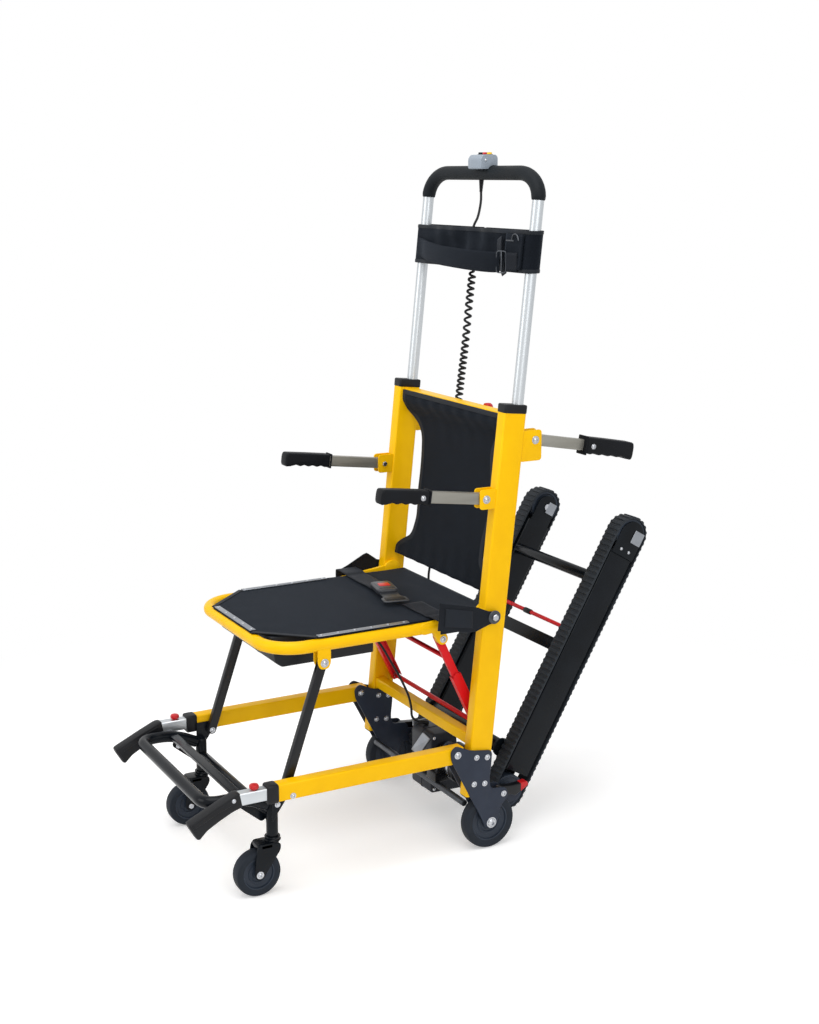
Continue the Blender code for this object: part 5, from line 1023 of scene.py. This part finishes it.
WHEEL_PLATE = rounded([(-0.105, 0.248), (-0.092, 0.259), (-0.054, 0.241), (0, 0.233), (-0.002, 0.198),
    (-0.006, 0.164), (-0.003, 0.143), (0.038, 0.139), (0.044, 0.118), (0.022, 0.094), (0.017, 0.056), (0, 0.044),
    (-0.017, 0.056), (-0.03, 0.086), (-0.048, 0.12), (-0.103, 0.225)], 0.01, 5)
# Powder-coated steel: dark slate blue, low gloss.
slate_coat = surface_finish("powder_coated_slate_steel", "#2D3442", "#262C39", 0.42,
    grain=0.0024, depth=0.00004, gleam=0.2)
RAIL_PIN, SPACER, AXLE = (-0.088, 0.237), (0.031, 0.125), (0, 0.0625)
INNER_FACE, OUTER_FACE = 0.2125, 0.2515
pair("foot_plates", "frame", slate_coat, [plate(WHEEL_PLATE, (OUTER_FACE - 0.004, OUTER_FACE), 0.0009),
    plate(WHEEL_PLATE, (INNER_FACE, INNER_FACE + 0.004), 0.0009),
    plate(link((0.02, 0.11), (0.079, 0.1), 0.017), (0.2127, 0.2163))], "wheel_plate")
pair("foot_plate_bolts", "frame", zinc, [
    *(screw((x, y, z), way, 0.0046, 1.45) for x, way in ((OUTER_FACE, 1), (INNER_FACE, -1))
      for y, z in ((-0.04, 0.223), (-0.013, 0.219), (-0.046, 0.162), (-0.019, 0.159))),
    screw((OUTER_FACE, *RAIL_PIN), 1, 0.006, 1.4), screw((OUTER_FACE, *SPACER), 1, 0.005, 1.4),
    screw((OUTER_FACE, *AXLE), 1, 0.0095, 1.3), hexagon((INNER_FACE, *AXLE), -1, 0.01, 0.006),
    screw((INNER_FACE, *RAIL_PIN), -1, 0.006, 1.4),
    *(pin((UPRIGHT_X, *at), radius, -0.0155, 0.0155, 18)
      for at, radius in ((RAIL_PIN, 0.0058), (SPACER, 0.0039), (AXLE, 0.0078)))])
wheel_pair("rear", "rear_wheel_{0[0]}", "rear_wheel", (UPRIGHT_X, *AXLE),
    [(0.0625, 0), (0.0622, 0.0075), (0.0608, 0.012), (0.0575, 0.0138), (0.048, 0.0132), (0.0445, 0.0115)], 64,
    [(0.0448, 0.012), (0.042, 0.012), (0.0405, 0.0085), (0.034, 0.0075), (0.03, 0.0075), (0.0288, 0.0095),
     (0.0255, 0.0095), (0.0242, 0.0075), (0.019, 0.0085), (0.017, 0.013), (0.0085, 0.0136)], 56)
arm = rounded([(0.0205, 0.13), (0.031, 0.1365), (0.064, 0.133), (0.086, 0.1346), (0.086, 0.1172), (0.07, 0.108),
    (0.056, 0.114), (0.04, 0.1165), (0.0284, 0.1195), (0.0225, 0.1235)], 0.004)
tread = rounded([(0.0835, 0.135), (0.1, 0.1367), (0.1042, 0.128), (0.0835, 0.1154)], 0.003)
pair("brake_arm", "brake_{0[0]}", black_coat, [plate(arm, (UPRIGHT_X - 0.0085, UPRIGHT_X + 0.0085), 0.0014)],
    "brake_pedal")
pair("brake_tread", "brake_{0[0]}", red_plastic, [plate(tread, (UPRIGHT_X - 0.0095, UPRIGHT_X + 0.0095), 0.0018)])
fit("tie_rod", "frame", dull_steel, [cross_bar(0.212, (-0.047, 0.103), circle(0.0075, 20))], ["motor_tie_bar"])

# ---- Drive. The motor lies across the chair on a cast gearbox that turns the tracks' shaft.

# Die-cast aluminium, painted dark grey.
cast_grey = surface_finish("painted_die_cast_aluminium", "#1F2228", "#292C33", 0.46,
    grain=0.0014, depth=0.00008, gleam=0.25)
MOTOR, MOTOR_END = (-0.003, 0.148), 0.146
GEARBOX = rounded([(-0.0385, 0.062), (0.06, 0.06), (0.108, 0.076), (0.108, 0.122), (0.094, 0.136), (0.034, 0.14),
    (0.03, 0.196), (0.016, 0.206), (-0.03, 0.206), (-0.0385, 0.196)], 0.008)
fit("gearbox_case", "frame", cast_grey, [plate(GEARBOX, (-0.046, 0.046), 0.003),
    plate(inset(GEARBOX, -0.0012), (-0.002, 0.002), 0.0008)], ["gearbox"])
fit("gearbox_screws", "frame", zinc, both([screw((0.046, y, z), 1, 0.0034, 1.2) for y, z in ((-0.03, 0.071),
    (0.05, 0.07), (0.098, 0.086), (0.098, 0.116), (0.04, 0.13), (0.021, 0.197), (-0.03, 0.196))]))
strap = rounded([(-0.009, 0.137), (0.044, 0.196), (0.01, 0.201), (-0.045, 0.141)], 0.002)
fit("gearbox_brackets", "frame", satin_aluminium, [plate(strap, (-0.0412, -0.0384), 0.0008, (1, 0, 2)),
    bar((-0.0375, -0.0405, 0.2078), (-0.0375, -0.004, 0.2078), block(0.0065, 0.0014, 0.001), X)])
can = [(0.0005, 0.0465), (0.034, 0.0465), (0.036, 0.048), (0.036, 0.06), (0.0352, 0.0606), (0.0352, 0.0625),
    (0.036, 0.0631), (0.036, 0.1245), (0.0352, 0.1251), (0.0352, 0.127), (0.036, 0.1276), (0.036, 0.136),
    (0.0335, 0.138), (0.0252, 0.1382), (0.0252, 0.144), (0.0235, MOTOR_END), (0.0005, 0.1461)]
fit("motor_can", "frame", black_coat, [turned((0, *MOTOR), X, can, 48),
    plate(oblong((-0.057, 0.111), (0.02, 0.133), 0.003), (0.058, 0.098), 0.0015)], ["drive_motor"])
band = symmetric([(0.0366, 0.0036), (0.0353, 0.004)])
fit("motor_bands", "frame", zinc, [turned((x, *MOTOR), X, band, 48, loop=True) for x in (0.07, 0.118)]
    + [screw((MOTOR_END, MOTOR[0] + 0.016 * math.cos(a), MOTOR[1] + 0.016 * math.sin(a)), 1, 0.0026, 1.2)
       for a in (0.6, 2.7, 4.8)])

# ---- Tracks. Two rubber belts with moulded cross ribs run over toothed pulleys on black steel rails; the
# frame's tubes join the rails, a red U-shaped rod locks it to the chair, and steel blocks keep the belts tight.

TRACK_LONG, TRACK_FOOT, TRACK_TILT = 0.6465, (0.079, 0.1), math.pi / 6
BELT_X, BELT_R, BELT_RIB, RIB_COUNT = 0.177, 0.0418, 0.0028, 114


def track_point(s, n=0.0):
    """(y, z) at a distance s up the tracks and n behind their middle line."""
    s, n = np.asarray(s, float), np.asarray(n, float)
    return spread(TRACK_FOOT[0] + s * math.sin(TRACK_TILT) + n * math.cos(TRACK_TILT),
        TRACK_FOOT[1] + s * math.cos(TRACK_TILT) - n * math.sin(TRACK_TILT))


def track_block(s, n, half_s, half_n, x):
    """A block lying along the tracks: its outline in (s, n), given thickness along x."""
    along, behind = block(half_s, half_n, 0.002).T
    return plate(track_point(s + along, n + behind), x)


# The belt's outside as a run of points, four to each rib: it rises, runs on, falls and waits for the next one.
turn_long = math.pi * BELT_R
pitch = 2 * (TRACK_LONG + turn_long) / RIB_COUNT
at = (np.arange(RIB_COUNT)[:, None] * pitch + np.array([0, 0.0013, 0.0066, 0.0079])).ravel()
rise = np.tile([0.0, 1.0, 1.0, 0.0], RIB_COUNT) * BELT_RIB
angle = (np.clip((at - TRACK_LONG) / BELT_R, 0, math.pi)
    + np.clip((at - 2 * TRACK_LONG - turn_long) / BELT_R, 0, math.pi))
run_s = np.clip(at, 0, TRACK_LONG) - np.clip(at - TRACK_LONG - turn_long, 0, TRACK_LONG)
outwards = spread(np.sin(angle), -np.cos(angle))
# Round the belt's section: x from its middle, and height above its outer face.
rings = []
for x, lift in ((-0.021, -0.0033), (0.021, -0.0033), (0.021, -0.0004), (0.0205, 0), (0.019, rise), (-0.019, rise),
        (-0.0205, 0), (-0.021, -0.0004)):
    line = spread(run_s, 0) + (BELT_R + lift + 0 * rise)[:, None] * outwards
    rings.append(spread(BELT_X + x, *track_point(*line.T).T))
# Moulded rubber belt, black, dull.
belt_rubber = surface_finish("ribbed_rubber_belt", "#22262B", "#2D3238", 0.62, ior=1.52,
    grain=0.0014, depth=0.00008, gleam=0.2)
foot, top = track_point(0), track_point(TRACK_LONG)
pulley = symmetric([(0.0385, 0.018), (0.0375, 0.019), (0.033, 0.019), (0.031, 0.0165), (0.02, 0.016), (0.018, 0.0195),
    (0.0085, 0.02)])
pair("ribbed_belt", "tracks", belt_rubber, [skin(np.stack(rings, 1), loop=True)], "track_belt")
pair("idler_pulley", "idler_{0}", hub_nylon, [turned((BELT_X, *top), X, pulley, 48, loop=True)], "track_idler")
pair("idler_axle", "idler_{0}", zinc, [pin((0.1735, *top), 0.008, -0.0265, 0.0233, 18)])

LOW_TUBE, HIGH_TUBE = track_point(0.081, -0.0395), track_point(0.523, -0.0225)
cover = np.vstack([link(track_point(0.596), top, 0.033, 14)[:14], track_point([0.594, 0.594], [-0.033, 0.033])])
fit("track_rails", "tracks", gloss_coat, both([
    bar((0.1728, *track_point(0.046)), (0.1728, *track_point(0.6015)), block(0.0338, 0.023, 0.004), X),
    plate(link(foot, top, 0.028, 14), (0.1499, 0.1545), 0.001),
    plate(link(LOW_TUBE, track_point(0.081, -0.005), 0.022), (0.15, 0.154), 0.001),
    plate(cover, (0.1973, 0.1993), 0.0008)]), ["track_frame"])
fit("track_cross_tubes", "tracks", gloss_coat, [cross_bar(0.1515, HIGH_TUBE, circle(0.013, 24)),
    cross_bar(0.1515, LOW_TUBE, circle(0.0165, 24)), track_block(0.345, -0.014, 0.015, 0.006, (-0.1515, 0.1515))])
fit("track_bolts", "tracks", zinc, both([*(screw((0.1993, *track_point(0.609, n)), 1, 0.0028, 1.3)
    for n in (0.012, -0.012)), screw((0.1499, *foot), -1, 0.0045, 1.4)]))
fit("belt_tensioners", "tracks", satin_aluminium, both([
    track_block(TRACK_LONG, 0.017, 0.0155, 0.0145, (0.1994, 0.2016)),
    track_block(TRACK_LONG, 0.012, 0.0145, 0.012, (0.1462, 0.1498))]))
fit("drive_pulleys", "drive_shaft", hub_nylon,
    [turned((BELT_X * side, *foot), X, pulley, 48, loop=True) for _, side in HANDS])
fit("drive_axle", "drive_shaft", zinc, [cross_bar(0.2158, foot, circle(0.008, 20))], ["track_shaft"])
hook, rod = track_point(0.345, -0.0251), track_point(0.391, -0.0251)
lock_line = bent([(0.1437, *hook), (0.1437, *rod), (-0.1437, *rod), (-0.1437, *hook)], 0.012)
fit("lock_rod", "track_lock", red_coat, [sweep(lock_line, circle(0.0048, 14), (0, 0.5, -0.3))], ["track_lock_bar"])
fit("lock_rod_sleeve", "track_lock", sleeve_rubber, [cross_bar(0.014, rod, circle(0.0066), edge=0.0015)])
